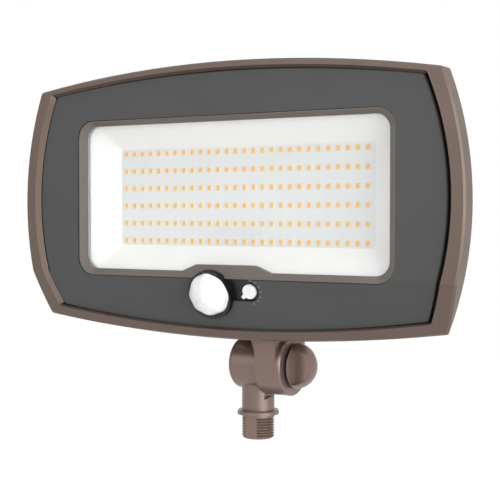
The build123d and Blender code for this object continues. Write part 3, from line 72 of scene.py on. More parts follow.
class Mat:
    """A node material on one Principled shader."""

    def __init__(self, name, base, rough=0.5, metal=0.0, spec=0.5, **extra):
        self.m = bpy.data.materials.new(name)
        self.m.use_nodes = True
        self.t = self.m.node_tree
        self.p = self.t.nodes["Principled BSDF"]
        self.set("Base Color", base)
        self.set("Roughness", rough)
        self.set("Metallic", metal)
        self.set("Specular IOR Level", spec)
        for key, value in extra.items():
            self.set(key.replace("_", " "), value)
        self.coord = self.t.nodes.new("ShaderNodeTexCoord")

    def set(self, socket, value):
        self.p.inputs[socket].default_value = value

    def node(self, kind, **values):
        n = self.t.nodes.new(kind)
        for key, value in values.items():
            setattr(n, key, value)
        return n

    def link(self, a, b):
        self.t.links.new(a, b)

    def noise(self, scale, detail=4.0, stretch=None):
        """Noise fixed to the object, stretched along an axis where its factor is small."""
        n = self.node("ShaderNodeTexNoise")
        n.inputs["Scale"].default_value = scale
        n.inputs["Detail"].default_value = detail
        n.inputs["Roughness"].default_value = 0.55
        source = self.coord.outputs["Object"]
        if stretch:
            mapping = self.node("ShaderNodeMapping")
            mapping.inputs["Scale"].default_value = stretch
            self.link(source, mapping.inputs["Vector"])
            source = mapping.outputs["Vector"]
        self.link(source, n.inputs["Vector"])
        return n.outputs["Fac"]

    def spread(self, fac, low, high, a=0.0, b=1.0):
        """Map a factor between low and high to values a and b."""
        n = self.node("ShaderNodeMapRange")
        n.inputs["From Min"].default_value = low
        n.inputs["From Max"].default_value = high
        n.inputs["To Min"].default_value = a
        n.inputs["To Max"].default_value = b
        self.link(fac, n.inputs["Value"])
        return n.outputs["Result"]

    def mix(self, fac, a, b):
        """Blend two colours, each fixed or from another node."""
        n = self.node("ShaderNodeMix", data_type="RGBA")
        self.link(fac, n.inputs["Factor"])
        for value, socket in ((a, n.inputs["A"]), (b, n.inputs["B"])):
            if isinstance(value, tuple):
                socket.default_value = value
            else:
                self.link(value, socket)
        return n.outputs["Result"]

    def calc(self, kind, a, b=None):
        """One sum on numbers or on other nodes' outputs."""
        n = self.node("ShaderNodeMath", operation=kind)
        for value, socket in ((a, n.inputs[0]), (b, n.inputs[1])):
            if value is None:
                continue
            if isinstance(value, (int, float)):
                socket.default_value = value
            else:
                self.link(value, socket)
        return n.outputs[0]

    def base(self, output):
        self.link(output, self.p.inputs["Base Color"])

    def rough(self, output):
        self.link(output, self.p.inputs["Roughness"])

    def bump(self, height, strength, distance):
        n = self.node("ShaderNodeBump")
        n.inputs["Strength"].default_value = strength
        n.inputs["Distance"].default_value = distance
        self.link(height, n.inputs["Height"])
        self.link(n.outputs["Normal"], self.p.inputs["Normal"])


def shade(colour, k):
    """A colour made lighter or darker by a factor."""
    return tuple(min(1.0, c * k) for c in colour[:3]) + (1.0,)


def painted(name, colour, rough, spec=0.5, metal=0.0, strength=0.12, drift=0.06):
    """Powder coat: fine orange-peel bump, slight tone drift and patchy sheen."""
    m = Mat(name, colour, rough=rough, metal=metal, spec=spec)
    tone = m.spread(m.noise(14.0, 3.0), *CLOUD)
    m.base(m.mix(tone, shade(colour, 1 - drift), shade(colour, 1 + drift)))
    m.rough(m.spread(m.noise(60.0, 2.0), *CLOUD, rough - 0.04, rough + 0.05))
    m.bump(m.noise(2600.0, 3.0), strength, COAT_DEPTH)
    return m.m


def plastic(name, colour, rough, spec=0.5, grain=900.0, strength=0.05, drift=0.02):
    """Moulded plastic or rubber: a fine grain and a faint drift of tone and sheen."""
    m = Mat(name, colour, rough=rough, spec=spec)
    tone = m.spread(m.noise(40.0, 3.0), *CLOUD)
    m.base(m.mix(tone, shade(colour, 1 - drift), shade(colour, 1 + drift)))
    m.rough(m.spread(m.noise(150.0, 2.0), *CLOUD, rough - 0.03, rough + 0.04))
    m.bump(m.noise(grain, 2.0), strength, MOULD_DEPTH)
    return m.m


def bare_metal(name, colour, dark, light, rough, sheen, grain, stretch, strength):
    """Metal without a coat, with faint lines from turning or rolling."""
    m = Mat(name, colour, rough=rough, metal=1.0)
    lines = m.noise(*grain, stretch=stretch)
    m.base(m.mix(m.spread(lines, *LINES), dark, light))
    m.rough(m.spread(lines, *CLOUD, *sheen))
    m.bump(lines, strength, LINE_DEPTH)
    return m.m


def lens_glass():
    """A clear pane: mostly see-through, with the gloss of glass."""
    m = Mat("clear_pane", srgb(236, 242, 241), rough=0.04, spec=0.5, Alpha=0.06)
    m.bump(m.noise(9.0, 1.0), 0.02, COAT_DEPTH)
    m.rough(m.spread(m.noise(30.0, 2.0), *CLOUD, 0.03, 0.06))
    return m.m


def board_white():
    """White solder mask with a faint drift of tone."""
    m = Mat("solder_mask", srgb(232, 235, 236), rough=0.35, spec=0.4)
    tone = m.spread(m.noise(25.0, 3.0), *CLOUD)
    m.base(m.mix(tone, srgb(229, 232, 234), srgb(236, 239, 239)))
    m.bump(m.noise(700.0, 2.0), 0.05, MOULD_DEPTH)
    return m.m


def phosphor():
    """LED chips: warm phosphor, paler towards each chip's moulded edge."""
    m = Mat("phosphor", srgb(246, 190, 104), rough=0.4, spec=0.4)
    axes = m.node("ShaderNodeSeparateXYZ")
    m.link(m.coord.outputs["Object"], axes.inputs["Vector"])
    # How far a point is from its chip's middle: 0 there and 1 at the chip's edge.
    away = None
    for axis, start, pitch, half in (
        ("X", 0.0, CHIP_PITCH_X, CHIP_HALF_X),
        ("Z", LED_CENTRE_Z, CHIP_PITCH_Z, CHIP_HALF_Z),
    ):
        place = m.calc("SUBTRACT", axes.outputs[axis], start)
        turns = m.calc("FRACT", m.calc("DIVIDE", place, pitch * MM))
        share = m.calc("MULTIPLY", m.calc("ABSOLUTE", m.calc("SUBTRACT", turns, 0.5)), pitch / half)
        away = share if away is None else m.calc("MAXIMUM", away, share)
    core = m.mix(m.spread(m.noise(320.0, 2.0), *LINES), srgb(247, 184, 96), srgb(245, 194, 110))
    m.base(m.mix(m.spread(away, 0.62, 0.98), core, srgb(253, 224, 168)))
    m.bump(m.noise(2200.0, 2.0), 0.15, MOULD_DEPTH)
    return m.m


def dome_lens():
    """Milky lens plastic with faint moulded cells inside."""
    m = Mat("dome_milk", srgb(240, 241, 242), rough=0.3, spec=0.45)
    cell = m.node("ShaderNodeTexVoronoi", feature="DISTANCE_TO_EDGE")
    cell.inputs["Scale"].default_value = 210.0
    m.link(m.coord.outputs["Object"], cell.inputs["Vector"])
    seam = m.spread(cell.outputs["Distance"], 0.0, 0.07)
    m.base(m.mix(seam, srgb(229, 230, 232), srgb(243, 243, 243)))
    m.bump(seam, 0.12, COAT_DEPTH)
    return m.m


bronze = painted("bronze_coat", srgb(101, 87, 78), 0.36, spec=0.4, metal=0.45)
# The window band's coat is the housing's bronze, made lighter and greyer to paint in its sheen: a painted
# reflection.
band_bronze_painted_sheen = painted("band_coat_painted_sheen", srgb(108, 101, 96), 0.34, spec=0.4, metal=0.4)
arm_metal = painted("arm_coat", srgb(125, 106, 98), 0.33, spec=0.4, metal=0.5)
plate_grey = painted("plate_coat", srgb(73, 73, 73), 0.4, spec=0.3, strength=0.06, drift=0.03)
reflector_white = plastic("reflector_white", srgb(250, 250, 249), 0.32, strength=0.03)
knob_white = plastic("knob_white", srgb(246, 246, 244), 0.35)
tick_print = plastic("tick_print", srgb(150, 150, 150), 0.5)
black_abs = plastic("black_abs", srgb(15, 15, 16), 0.38, spec=0.45, strength=0.12, drift=0.1)
board_green = plastic("board_green", srgb(26, 88, 52), 0.35)
wire_red = plastic("wire_red", srgb(170, 36, 30), 0.4)
rubber = plastic("rubber", srgb(30, 30, 30), 0.75, spec=0.3, grain=1500.0, strength=0.3, drift=0.15)
plated = bare_metal(
    "zinc_steel",
    srgb(190, 190, 192),
    dark=srgb(172, 173, 178),
    light=srgb(205, 204, 200),
    rough=0.3,
    sheen=(0.24, 0.38),
    grain=(900.0, 2.0),
    stretch=(1.0, 0.05, 1.0),
    strength=0.08,
)
aluminium = bare_metal(
    "rolled_aluminium",
    srgb(200, 201, 203),
    dark=srgb(188, 189, 192),
    light=srgb(212, 212, 212),
    rough=0.38,
    sheen=(0.3, 0.46),
    grain=(500.0, 3.0),
    stretch=(0.03, 1.0, 1.0),
    strength=0.06,
)
glass = lens_glass()
mask_white = board_white()
chip = phosphor()
dome_milk = dome_lens()

finish = {
    "lower_arm": arm_metal,
    "upper_arm": arm_metal,
    "clamp_knob": arm_metal,
    "housing": bronze,
    "window_frame": band_bronze_painted_sheen,
    "face_plate": plate_grey,
    "lens_cover": glass,
    "reflector": reflector_white,
    "led_board": mask_white,
    "heat_tray": aluminium,
    "sensor_housing": black_abs,
    "sensor_dome": dome_milk,
    "selector_knob": knob_white,
    "selector_switch": black_abs,
    "sensor_board": board_green,
    "driver": black_abs,
    "breather_vent": black_abs,
    "led_leads": wire_red,
    "sensor_lead": wire_red,
    "clamp_bolt": plated,
    "clamp_washer": plated,
    "pir_element": plated,
}
for held in ("arm", "frame", "board", "driver", "sensor"):
    finish[f"{held}_screws"] = plated
for name in ("knuckle_seal", "arm_gasket", "lens_gasket", "selector_seal"):
    finish[name] = rubber
for row in range(1, 7):
    finish[f"led_row_{row}"] = chip

for name, obj in nodes.items():
    obj.data.materials.clear()
    obj.data.materials.append(finish[name])

# ---------------------------------------------------------------- shapes made here

# The knuckle: the lower arm's lug at the left, then the upper arm's barrel with its neck and flare.
PIVOT_Z = 33.0
LUG_RADIUS = 16.6
BARREL_RADIUS = 19.4
BARREL_LEFT = 8.75
BARREL_RIGHT = 27.0
BARREL_EDGE = 0.8
BOLT_HOLE = 4.06
NECK_RIGHT = 24.0
NECK_HALF_DEPTH = 19.4
# How far the neck reaches into the barrel.
NECK_ROOT = 2.0
FLARE_LEFT = 2.45
FLARE_HALF_DEPTH = 15.4
FLARE_GAP = 1.4
FLARE_START = 33.5
# The underside of the upper arm's plate, and how far the neck and the flare run into it.
UNDER_PLATE = 54.0
PLATE_OVERLAP = 0.05
# Half the width, and the height, of a box that holds all of the plate.
PLATE_REACH = 60
PLATE_ROOM = 20

# The clamp knob: a dome turned round the pivot, with a pocket on each side of its grip.
KNOB_LEFT = 28.9
KNOB_CENTRE = 27.3
KNOB_RADIUS = 15.0
KNOB_EDGE = 0.7
KNOB_HOLE_END = 32.4
KNOB_STEPS = 40
KNOB_SOFT = 0.8
GRIP_HALF_WIDTH = 4.6
POCKET_FLOOR = 30.0
POCKET_REACH = 12.7
POCKET_HALF_HEIGHT = 11.3
POCKET_STEPS = 64

# The stud and the stem: milled flats, and a pipe thread below the flange.
STUD_RADIUS = 10.67
STUD_FLAT = 9.55
STUD_FLAT_TOP = -0.001
STUD_FLAT_END = -20.0
MILLED_DEPTH = 3.0
FLANGE_TOP = 2.8
STEM_FLAT_TOP = 19.5
THREAD_PITCH = 1.814
THREAD_TOP = -0.9
THREAD_END = -17.2
THREAD_ROOT = 9.55
THREAD_HALF_WIDTH = 0.8
THREAD_STEPS = 72
# How far the cutter stands out of the stud, and how shallow its groove gets where it fades out.
THREAD_CLEAR = 0.08
THREAD_FADED = 0.02
# The part of a turn over which the groove fades in, and the degrees over which a flat takes it away.
THREAD_RUN_IN = 0.3
FLAT_BLEND = 3.0
FLAT_CLEAR = 0.04

# The rim's front face, and the strip that slopes from its inner edge to the plate.
RIM_FRONT = 44.7
RIM_TOLERANCE = 0.05
BEVEL_DEPTH = 2.75
BEVEL_LEFT = 3.2
BEVEL_RIGHT = 1.0
BEVEL_TOP = 1.6
BEVEL_BOTTOM = 1.2
BEVEL_SUNK = 0.05

# The chin's upper edge on the front plate, and the sensor and the selector on the chin.
CHIN_START = 91.3
PLATE_FACE = -41.9
SENSOR_X = -10.4
SENSOR_DOWN = 10.6
DOME_RADIUS = 13.8
DOME_WALL = 0.9
DOME_BASE = 1.5
DOME_HEIGHT = 0.94
DOME_ROWS = 40
DOME_COLUMNS = 144
# How far a panel bulges, as a share of the dome's radius, and how that is laid out over the dome.
DOME_PANEL = 0.018
DOME_BAND = 0.6
PANELS_LOW = 8
PANELS_HIGH = 4
PANELS_CHANGE = 0.55
PANELS_TURN = 0.35
PANEL_BANDS = 6
FOOT_ROWS = 5
SELECTOR_X = 17.2
SELECTOR_DOWN = 9.3
KNOB_FLOOR = 0.3
KNOB_RISE = 0.35
KNOB_SPREAD = 0.89
TICK_ANGLES = (75, 50, 25, 0, -25, -50, -75)
TICK_INNER = 7.3
TICK_OUTER = 8.7
TICK_WIDTH = 0.4
TICK_THICKNESS = 0.06


def keep(obj):
    bpy.context.scene.collection.objects.link(obj)
    return obj


def solid(name, points, faces):
    """A closed mesh object from points in millimetres."""
    mesh = bpy.data.meshes.new(name)
    mesh.from_pydata([tuple(c * MM for c in p) for p in points], [], faces)
    bm = bmesh.new()
    bm.from_mesh(mesh)
    bmesh.ops.remove_doubles(bm, verts=bm.verts, dist=1e-7)
    bmesh.ops.recalc_face_normals(bm, faces=bm.faces)
    bm.to_mesh(mesh)
    bm.free()
    return keep(bpy.data.objects.new(name, mesh))


def prism(name, outline, direction):
    """An outline of points swept along a direction."""
    n = len(outline)
    far = [tuple(a + b for a, b in zip(p, direction)) for p in outline]
    caps = [tuple(range(n)), tuple(range(2 * n - 1, n - 1, -1))]
    sides = [(i, (i + 1) % n, n + (i + 1) % n, n + i) for i in range(n)]
    return solid(name, list(outline) + far, caps + sides)


def upright(outline, half_depth):
    """An outline of (x, z) points swept from the front to the back."""
    return prism("tool", [(x, -half_depth, z) for x, z in outline], (0, 2 * half_depth, 0))


def spun(name, profile, steps=128):
    """A profile of (x, radius) points turned round the knuckle's axis."""
    points, faces = [], []
    m = len(profile)
    for k in range(steps):
        a = 2 * math.pi * k / steps
        for x, r in profile:
            points.append((x, r * math.sin(a), PIVOT_Z + r * math.cos(a)))
    for k in range(steps):
        j = (k + 1) % steps
        for i in range(m):
            ends = (profile[i][1], profile[(i + 1) % m][1])
            if max(ends) < 1e-6:
                continue
            ring = [k * m + i, k * m + (i + 1) % m, j * m + (i + 1) % m, j * m + i]
            if ends[0] < 1e-6:
                ring = ring[:3]
            elif ends[1] < 1e-6:
                ring = [ring[0], ring[1], ring[3]]
            faces.append(tuple(ring))
    return solid(name, points, faces)


def pivot_cylinder(radius, left, right):
    return spun("tool", [(left, 0), (left, radius), (right, radius), (right, 0)])


def settle(obj):
    """Make the modifiers' result the object's own mesh."""
    graph = bpy.context.evaluated_depsgraph_get()
    mesh = bpy.data.meshes.new_from_object(obj.evaluated_get(graph))
    obj.modifiers.clear()
    obj.data = mesh


def combine(obj, tool, operation):
    """Cut, join or intersect two closed meshes, and drop the tool."""
    mod = obj.modifiers.new("combine", "BOOLEAN")
    mod.operation = operation
    mod.solver = "EXACT"
    mod.object = tool
    settle(obj)
    bpy.data.objects.remove(tool)


def soften(obj, width, segments, limit):
    """Round the edges that are sharper than a limit in degrees."""
    mod = obj.modifiers.new("edge", "BEVEL")
    mod.width = width * MM
    mod.segments = segments
    mod.limit_method = "ANGLE"
    mod.angle_limit = math.radians(limit)
    settle(obj)


def cad_copy(node, name):
    """A welded copy of a CAD node's mesh."""
    mesh = nodes[node].data.copy()
    bm = bmesh.new()
    bm.from_mesh(mesh)
    bmesh.ops.remove_doubles(bm, verts=bm.verts, dist=1e-6)
    bm.to_mesh(mesh)
    bm.free()
    if "custom_normal" in mesh.attributes:
        mesh.attributes.remove(mesh.attributes["custom_normal"])
    return keep(bpy.data.objects.new(name, mesh))


def coat(obj, material, sharp=None):
    """One material, and smooth shading that breaks at edges sharper than an angle in degrees."""
    obj.data.materials.clear()
    obj.data.materials.append(material)
    if sharp is not None:
        obj.data.shade_smooth()
        obj.data.set_sharp_from_angle(angle=math.radians(sharp))


def dress(obj, material, body, node, sharp=32.0):
    """Finish, shading and the CAD node that the piece stands for."""
    coat(obj, material, sharp)
    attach(obj, body)
    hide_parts(node)


def cast_knuckle():
    """The barrel with its upright neck, the flare over the lug and the plate under the head."""
    left, right, radius = BARREL_LEFT, BARREL_RIGHT, BARREL_RADIUS
    profile = [
        (left, BOLT_HOLE),
        (left, radius),
        (right - BARREL_EDGE, radius),
        (right, radius - BARREL_EDGE),
        (right, BOLT_HOLE),
    ]
    arm = spun("upper_arm_cast", profile)
    top = UNDER_PLATE + PLATE_OVERLAP
    neck = [(left, PIVOT_Z), (NECK_RIGHT, PIVOT_Z), (NECK_RIGHT, top), (left, top)]
    neck = upright(neck, NECK_HALF_DEPTH)
    combine(neck, pivot_cylinder(radius - NECK_ROOT, left - 1, NECK_RIGHT + 1), "DIFFERENCE")
    combine(arm, neck, "UNION")
    flare = [(left + 1, FLARE_START), (left + 1, top), (FLARE_LEFT, top), (left, FLARE_START)]
    flare = upright(flare, FLARE_HALF_DEPTH)
    combine(flare, pivot_cylinder(LUG_RADIUS + FLARE_GAP, FLARE_LEFT - 1, left), "DIFFERENCE")
    combine(arm, flare, "UNION")
    plate = cad_copy("upper_arm", "tool")
    corners = ((-1, -1), (1, -1), (1, 1), (-1, 1))
    above = [(x * PLATE_REACH, y * PLATE_REACH, UNDER_PLATE) for x, y in corners]
    combine(plate, prism("tool", above, (0, 0, PLATE_ROOM)), "INTERSECT")
    combine(arm, plate, "UNION")
    return arm


def finger_knob():
    """A domed knob with a finger pocket each side of a straight grip."""
    start = math.acos((KNOB_LEFT + KNOB_EDGE - KNOB_CENTRE) / KNOB_RADIUS)
    profile = [(KNOB_HOLE_END, 0), (KNOB_HOLE_END, BOLT_HOLE), (KNOB_LEFT, BOLT_HOLE)]
    profile.append((KNOB_LEFT, KNOB_RADIUS * math.sin(start) - KNOB_EDGE))
    for i in range(KNOB_STEPS + 1):
        a = start * (1 - i / KNOB_STEPS)
        profile.append((KNOB_CENTRE + KNOB_RADIUS * math.cos(a), KNOB_RADIUS * math.sin(a)))
    knob = spun("clamp_knob_cast", profile)
    for side in (-1, 1):
        outline = []
        for i in range(POCKET_STEPS + 1):
            a = -math.pi / 2 + math.pi * i / POCKET_STEPS
            x = POCKET_FLOOR + POCKET_REACH * math.cos(a)
            outline.append((x, side * GRIP_HALF_WIDTH, PIVOT_Z + POCKET_HALF_HEIGHT * math.sin(a)))
        combine(knob, prism("tool", outline, (0, side * KNOB_RADIUS, 0)), "DIFFERENCE")
    soften(knob, KNOB_SOFT, 3, 35.0)
    return knob


def thread_cutter():
    """A V groove along a helix, fading in at the top and away over the stud's two flats."""
    count = int(THREAD_STEPS * ((THREAD_TOP - THREAD_END) / THREAD_PITCH))
    flat_edge = math.degrees(math.acos(STUD_FLAT / STUD_RADIUS))
    outer = STUD_RADIUS + THREAD_CLEAR
    faded = outer - THREAD_FADED
    slope = THREAD_HALF_WIDTH / (STUD_RADIUS - THREAD_ROOT)
    points, faces = [], []
    for i in range(count + 1):
        a = 2 * math.pi * i / THREAD_STEPS
        z = THREAD_TOP - THREAD_PITCH * i / THREAD_STEPS
        from_flat = abs((math.degrees(a) % 180) - 90)
        root = THREAD_ROOT
        if from_flat < flat_edge:
            held = STUD_FLAT / math.cos(math.radians(from_flat)) + FLAT_CLEAR
            blend = min(1.0, (flat_edge - from_flat) / FLAT_BLEND)
            root = max(root, root + (held - root) * blend)
        root = faded - (faded - root) * min(1.0, i / (THREAD_RUN_IN * THREAD_STEPS))
        half = slope * (outer - root)
        for r, dz in ((outer, half), (root, 0.0), (outer, -half)):
            points.append((r * math.cos(a), r * math.sin(a), z + dz))
    for i in range(count):
        k = 3 * i
        for j in range(3):
            n = (j + 1) % 3
            faces.append((k + j, k + n, k + 3 + n, k + 3 + j))
    last = 3 * count
    faces += [(0, 2, 1), (last, last + 1, last + 2)]
    return solid("tool", points, faces)


def threaded_arm():
    """The lower arm with a pipe thread on its stud and flats milled across stud and stem."""
    arm = cad_copy("lower_arm", "lower_arm_cast")
    wide = 2 * STUD_RADIUS
    for side in (-1, 1):
        for low, high in ((STUD_FLAT_END, STUD_FLAT_TOP), (FLANGE_TOP, STEM_FLAT_TOP)):
            y = side * STUD_FLAT
            slab = [(-wide, y, low), (wide, y, low), (wide, y, high), (-wide, y, high)]
            combine(arm, prism("tool", slab, (0, side * MILLED_DEPTH, 0)), "DIFFERENCE")
    combine(arm, thread_cutter(), "DIFFERENCE")
    return arm


def rim_front(z):
    """Where the rim's front face lies in depth at a height, both in metres. It bends back at the chin."""
    return -RIM_FRONT * MM + max(0.0, CHIN_START * MM - z) * math.tan(CHIN)


def bevel_width(n):
    """The strip's width where its wall faces along n."""
    if n.x > 0.7:
        return n.x * BEVEL_LEFT
    if n.x < -0.7:
        return -n.x * BEVEL_RIGHT
    return n.z * BEVEL_BOTTOM if n.z > 0 else -n.z * BEVEL_TOP


def rim_bevel():
    """A sloped strip from the rim's inner edge to the plate, wide enough at the left to close the gap."""
    bm = bmesh.new()
    bm.from_mesh(nodes["housing"].data)
    bmesh.ops.remove_doubles(bm, verts=bm.verts, dist=1e-6)
    # The edges between the rim's front and its inner walls, and the walls' normals at each vertex.
    edges, inward = [], {}
    for edge in bm.edges:
        if len(edge.link_faces) != 2:
            continue
        if any(abs(v.co.y - rim_front(v.co.z)) > RIM_TOLERANCE * MM for v in edge.verts):
            continue
        front, wall = sorted((f.normal for f in edge.link_faces), key=lambda n: n.y)
        middle = (edge.verts[0].co + edge.verts[1].co) / 2
        to_centre = Vector((-middle.x, 0, LED_CENTRE_Z - middle.z))
        if front.y > -0.9 or abs(wall.y) > 0.4 or wall.dot(to_centre) <= 0:
            continue
        edges.append(edge)
        flat = Vector((wall.x, 0, wall.z)).normalized()
        for v in edge.verts:
            inward.setdefault(v, []).append(flat)
    points, place = [], {}
    for v, walls in inward.items():
        total = sum(walls, Vector((0, 0, 0))).normalized()
        # Along a wall both normals agree and each counts half, but at a corner both count in full.
        share = 2 if walls[0].dot(walls[-1]) > 0.7 else 1
        shift = Vector((0, 0, 0))
        for n in (walls[0], walls[-1]):
            shift += n * bevel_width(n) / share
        inner = v.co + shift * MM
        inner.y = rim_front(inner.z) + BEVEL_DEPTH * MM
        under = v.co + Vector((0, BEVEL_DEPTH * MM, 0)) - total * BEVEL_SUNK * MM
        place[v] = len(points)
        points += [v.co / MM, inner / MM, under / MM]
    faces = []
    for edge in edges:
        k, m = place[edge.verts[0]], place[edge.verts[1]]
        faces += [(k + i, m + i, m + (i + 1) % 3, k + (i + 1) % 3) for i in range(3)]
    bm.free()
    return solid("rim_bevel", points, faces)


def chin_point(x, down, out):
    """A point by the chin's plane: across, down its slope and out from its face, in millimetres."""
    y = PLATE_FACE + down * math.sin(CHIN) - out * math.cos(CHIN)
    z = CHIN_START - down * math.cos(CHIN) - out * math.sin(CHIN)
    return Vector((x, y, z))


CHIN_OUT = (chin_point(0, 0, 1) - chin_point(0, 0, 0)).normalized()
CHIN_DOWN = (chin_point(0, 1, 0) - chin_point(0, 0, 0)).normalized()


def flat_selector():
    """The selector knob lowered to lie nearly flush in its pocket."""
    knob = cad_copy("selector_knob", "selector_knob_flat")
    origin = chin_point(0, 0, KNOB_FLOOR) * MM
    for v in knob.data.vertices:
        rise = (v.co - origin).dot(CHIN_OUT)
        if rise > 0:
            v.co -= CHIN_OUT * rise * (1 - KNOB_RISE)
        spread = v.co - chin_point(SELECTOR_X, SELECTOR_DOWN, 0) * MM
        spread -= CHIN_OUT * spread.dot(CHIN_OUT)
        v.co -= spread * (1 - KNOB_SPREAD)
    return knob


def dome_facets():
    """The milky dome: a shell of flattened lens panels that flow into each other above a round foot."""
    rows, columns = DOME_ROWS, DOME_COLUMNS
    centre = chin_point(SENSOR_X, SENSOR_DOWN, DOME_BASE)
    across = Vector((1, 0, 0))
    points, faces = [], []
    for radius, panelled in ((DOME_RADIUS, 1), (DOME_RADIUS - DOME_WALL, 0)):
        for i in range(rows):
            lift = math.pi / 2 * i / rows
            ring = max(0.0, math.cos(lift))
            panels = PANELS_LOW if i < rows * PANELS_CHANGE else PANELS_HIGH
            band = math.cos(PANEL_BANDS * lift) * DOME_PANEL * DOME_BAND
            for j in range(columns):
                turn = 2 * math.pi * j / columns
                wave = math.cos(panels * (turn + PANELS_TURN)) * DOME_PANEL * ring
                r = radius * (1 - (wave + band) * panelled * min(1.0, i / FOOT_ROWS))
                side = across * math.cos(turn) + CHIN_DOWN * math.sin(turn)
                points.append(centre + side * r * ring + CHIN_OUT * r * math.sin(lift) * DOME_HEIGHT)
        points.append(centre + CHIN_OUT * radius * DOME_HEIGHT)
    size = rows * columns + 1
    for base in (0, size):
        for i in range(rows - 1):
            a, b = base + i * columns, base + (i + 1) * columns
            for j in range(columns):
                k = (j + 1) % columns
                faces.append((a + j, a + k, b + k, b + j))
        last = base + (rows - 1) * columns
        for j in range(columns):
            faces.append((last + j, last + (j + 1) % columns, base + size - 1))
    for j in range(columns):
        k = (j + 1) % columns
        faces.append((j, k, size + k, size + j))
    return solid("sensor_dome_lens", points, faces)


def dial_ticks():
    """Short plain ticks printed on the plate round the selector."""
    points, faces = [], []
    for degrees in TICK_ANGLES:
        a = math.radians(degrees)
        along = (math.cos(a), -math.sin(a))
        across = (-along[1], along[0])
        k = len(points)
        for out in (0.0, TICK_THICKNESS):
            for r, w in ((TICK_INNER, -1), (TICK_OUTER, -1), (TICK_OUTER, 1), (TICK_INNER, 1)):
                x = SELECTOR_X + along[0] * r + across[0] * w * TICK_WIDTH / 2
                down = SELECTOR_DOWN + along[1] * r + across[1] * w * TICK_WIDTH / 2
                points.append(chin_point(x, down, out))
        faces += [(k, k + 1, k + 2, k + 3), (k + 7, k + 6, k + 5, k + 4)]
        faces += [(k + i, k + (i + 1) % 4, k + 4 + (i + 1) % 4, k + 4 + i) for i in range(4)]
    return solid("dial_ticks", points, faces)


bevel = rim_bevel()
coat(bevel, bronze, 20.0)
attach(bevel, "head")
dress(flat_selector(), knob_white, "selector", "selector_knob", 30.0)
dress(dome_facets(), dome_milk, "head", "sensor_dome", 60.0)
ticks = dial_ticks()
coat(ticks, tick_print)
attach(ticks, "head")
dress(cast_knuckle(), arm_metal, "head", "upper_arm")
dress(finger_knob(), arm_metal, "clamp", "clamp_knob", 25.0)
dress(threaded_arm(), arm_metal, "base", "lower_arm", 28.0)

# ---------------------------------------------------------------- floor, light and camera

# From here on places and sizes are in metres, and lamps are in watts.
FLOOR_Z = -0.30
FLOOR_RADIUS = 9.0
FLOOR_GREY = 0.86
# What the camera sees of the floor: its own glow, and light on a grey that a shadow takes away.
FLOOR_GLOW = 0.88
SHADOW_GREY = 0.3
AMBIENT = 0.46
# The camera solved from the photograph, as a place, two angles and a focal length in pixels.
CAMERA_PLACE = (0.40454, -0.66943, 0.13091)
CAMERA_YAW = math.radians(31.541)
CAMERA_PITCH = math.radians(1.756)
FOCAL_PIXELS = 1200.0
PICTURE_PIXELS = 500.0
SENSOR_WIDTH = 36.0


def seen_white(tree, plain, shown):
    """One shader for camera, glossy and transmission rays, and the plain one for the rest."""
    path = tree.nodes.new("ShaderNodeLightPath")
    either = path.outputs["Is Camera Ray"]
    for ray in ("Is Glossy Ray", "Is Transmission Ray"):
        most = tree.nodes.new("ShaderNodeMath")
        most.operation = "MAXIMUM"
        tree.links.new(either, most.inputs[0])
        tree.links.new(path.outputs[ray], most.inputs[1])
        either = most.outputs[0]
    mixer = tree.nodes.new("ShaderNodeMixShader")
    tree.links.new(either, mixer.inputs["Fac"])
    tree.links.new(plain, mixer.inputs[1])
    tree.links.new(shown, mixer.inputs[2])
    return mixer.outputs["Shader"]


def matt(tree, grey):
    """A plain diffuse grey."""
    n = tree.nodes.new("ShaderNodeBsdfDiffuse")
    n.inputs["Color"].default_value = (grey, grey, grey, 1)
    return n.outputs["BSDF"]


def floor_material():
    """A pale floor that shows white, and still darkens softly under the object."""
    m = bpy.data.materials.new("floor_white")
    m.use_nodes = True
    t = m.node_tree
    t.nodes.clear()
    surface = t.nodes.new("ShaderNodeOutputMaterial")
    glow = t.nodes.new("ShaderNodeEmission")
    glow.inputs["Strength"].default_value = FLOOR_GLOW
    both = t.nodes.new("ShaderNodeAddShader")
    t.links.new(glow.outputs["Emission"], both.inputs[0])
    t.links.new(matt(t, SHADOW_GREY), both.inputs[1])
    shader = seen_white(t, matt(t, FLOOR_GREY), both.outputs["Shader"])
    t.links.new(shader, surface.inputs["Surface"])
    return m


def backdrop(tree, strength):
    """An even white sky."""
    n = tree.nodes.new("ShaderNodeBackground")
    n.inputs["Color"].default_value = (1, 1, 1, 1)
    n.inputs["Strength"].default_value = strength
    return n.outputs["Background"]


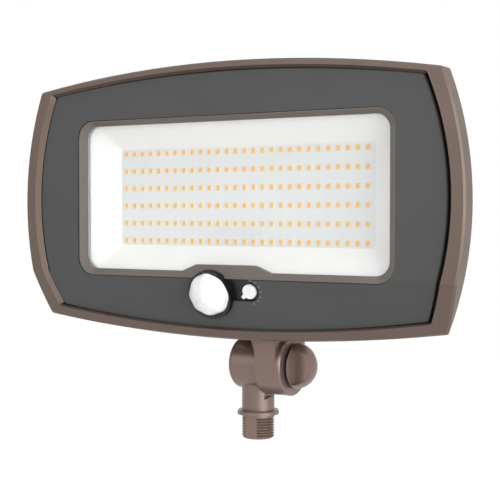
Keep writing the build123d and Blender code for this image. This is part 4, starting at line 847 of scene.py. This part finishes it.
def area(name, place, target, size, power):
    """A rectangular lamp that the camera doesn't see."""
    data = bpy.data.lights.new(name, "AREA")
    data.shape = "RECTANGLE"
    data.size = size[0]
    data.size_y = size[1]
    data.energy = power
    lamp = keep(bpy.data.objects.new(name, data))
    lamp.location = place
    lamp.rotation_euler = (Vector(target) - Vector(place)).to_track_quat("-Z", "Y").to_euler()
    lamp.visible_camera = False


floor_mesh = bpy.data.meshes.new("floor")
bm = bmesh.new()
bmesh.ops.create_circle(bm, cap_ends=True, segments=96, radius=FLOOR_RADIUS)
bm.to_mesh(floor_mesh)
bm.free()
floor = keep(bpy.data.objects.new("floor", floor_mesh))
floor.location = (0, 0, FLOOR_Z)
floor.data.materials.append(floor_material())

world = bpy.data.worlds.new("studio")
bpy.context.scene.world = world
world.use_nodes = True
sky = world.node_tree
sky.nodes.clear()
surface = sky.nodes.new("ShaderNodeOutputWorld")
sky.links.new(seen_white(sky, backdrop(sky, AMBIENT), backdrop(sky, 1.0)), surface.inputs["Surface"])

area("key", (1.8, -0.7, 0.35), (0, 0, 0.12), (2.0, 1.5), 35.0)
area("front", (-0.5, -1.9, 0.6), (0, 0, 0.12), (1.4, 1.0), 6.0)
area("top", (0.1, -0.5, 1.8), (0, 0, 0.1), (1.4, 0.9), 9.0)

lens = bpy.data.cameras.new("camera")
lens.sensor_width = SENSOR_WIDTH
lens.sensor_fit = "HORIZONTAL"
lens.lens = FOCAL_PIXELS / PICTURE_PIXELS * SENSOR_WIDTH
lens.clip_start = 0.01
camera = keep(bpy.data.objects.new("camera", lens))
level = math.cos(CAMERA_PITCH)
forward = Vector((-math.sin(CAMERA_YAW) * level, math.cos(CAMERA_YAW) * level, -math.sin(CAMERA_PITCH)))
right = Vector((math.cos(CAMERA_YAW), math.sin(CAMERA_YAW), 0))
turned = Matrix((right, right.cross(forward), -forward)).transposed()
camera.matrix_world = Matrix.Translation(CAMERA_PLACE) @ turned.to_4x4()
bpy.context.scene.camera = camera

bpy.context.scene.view_settings.view_transform = "Standard"
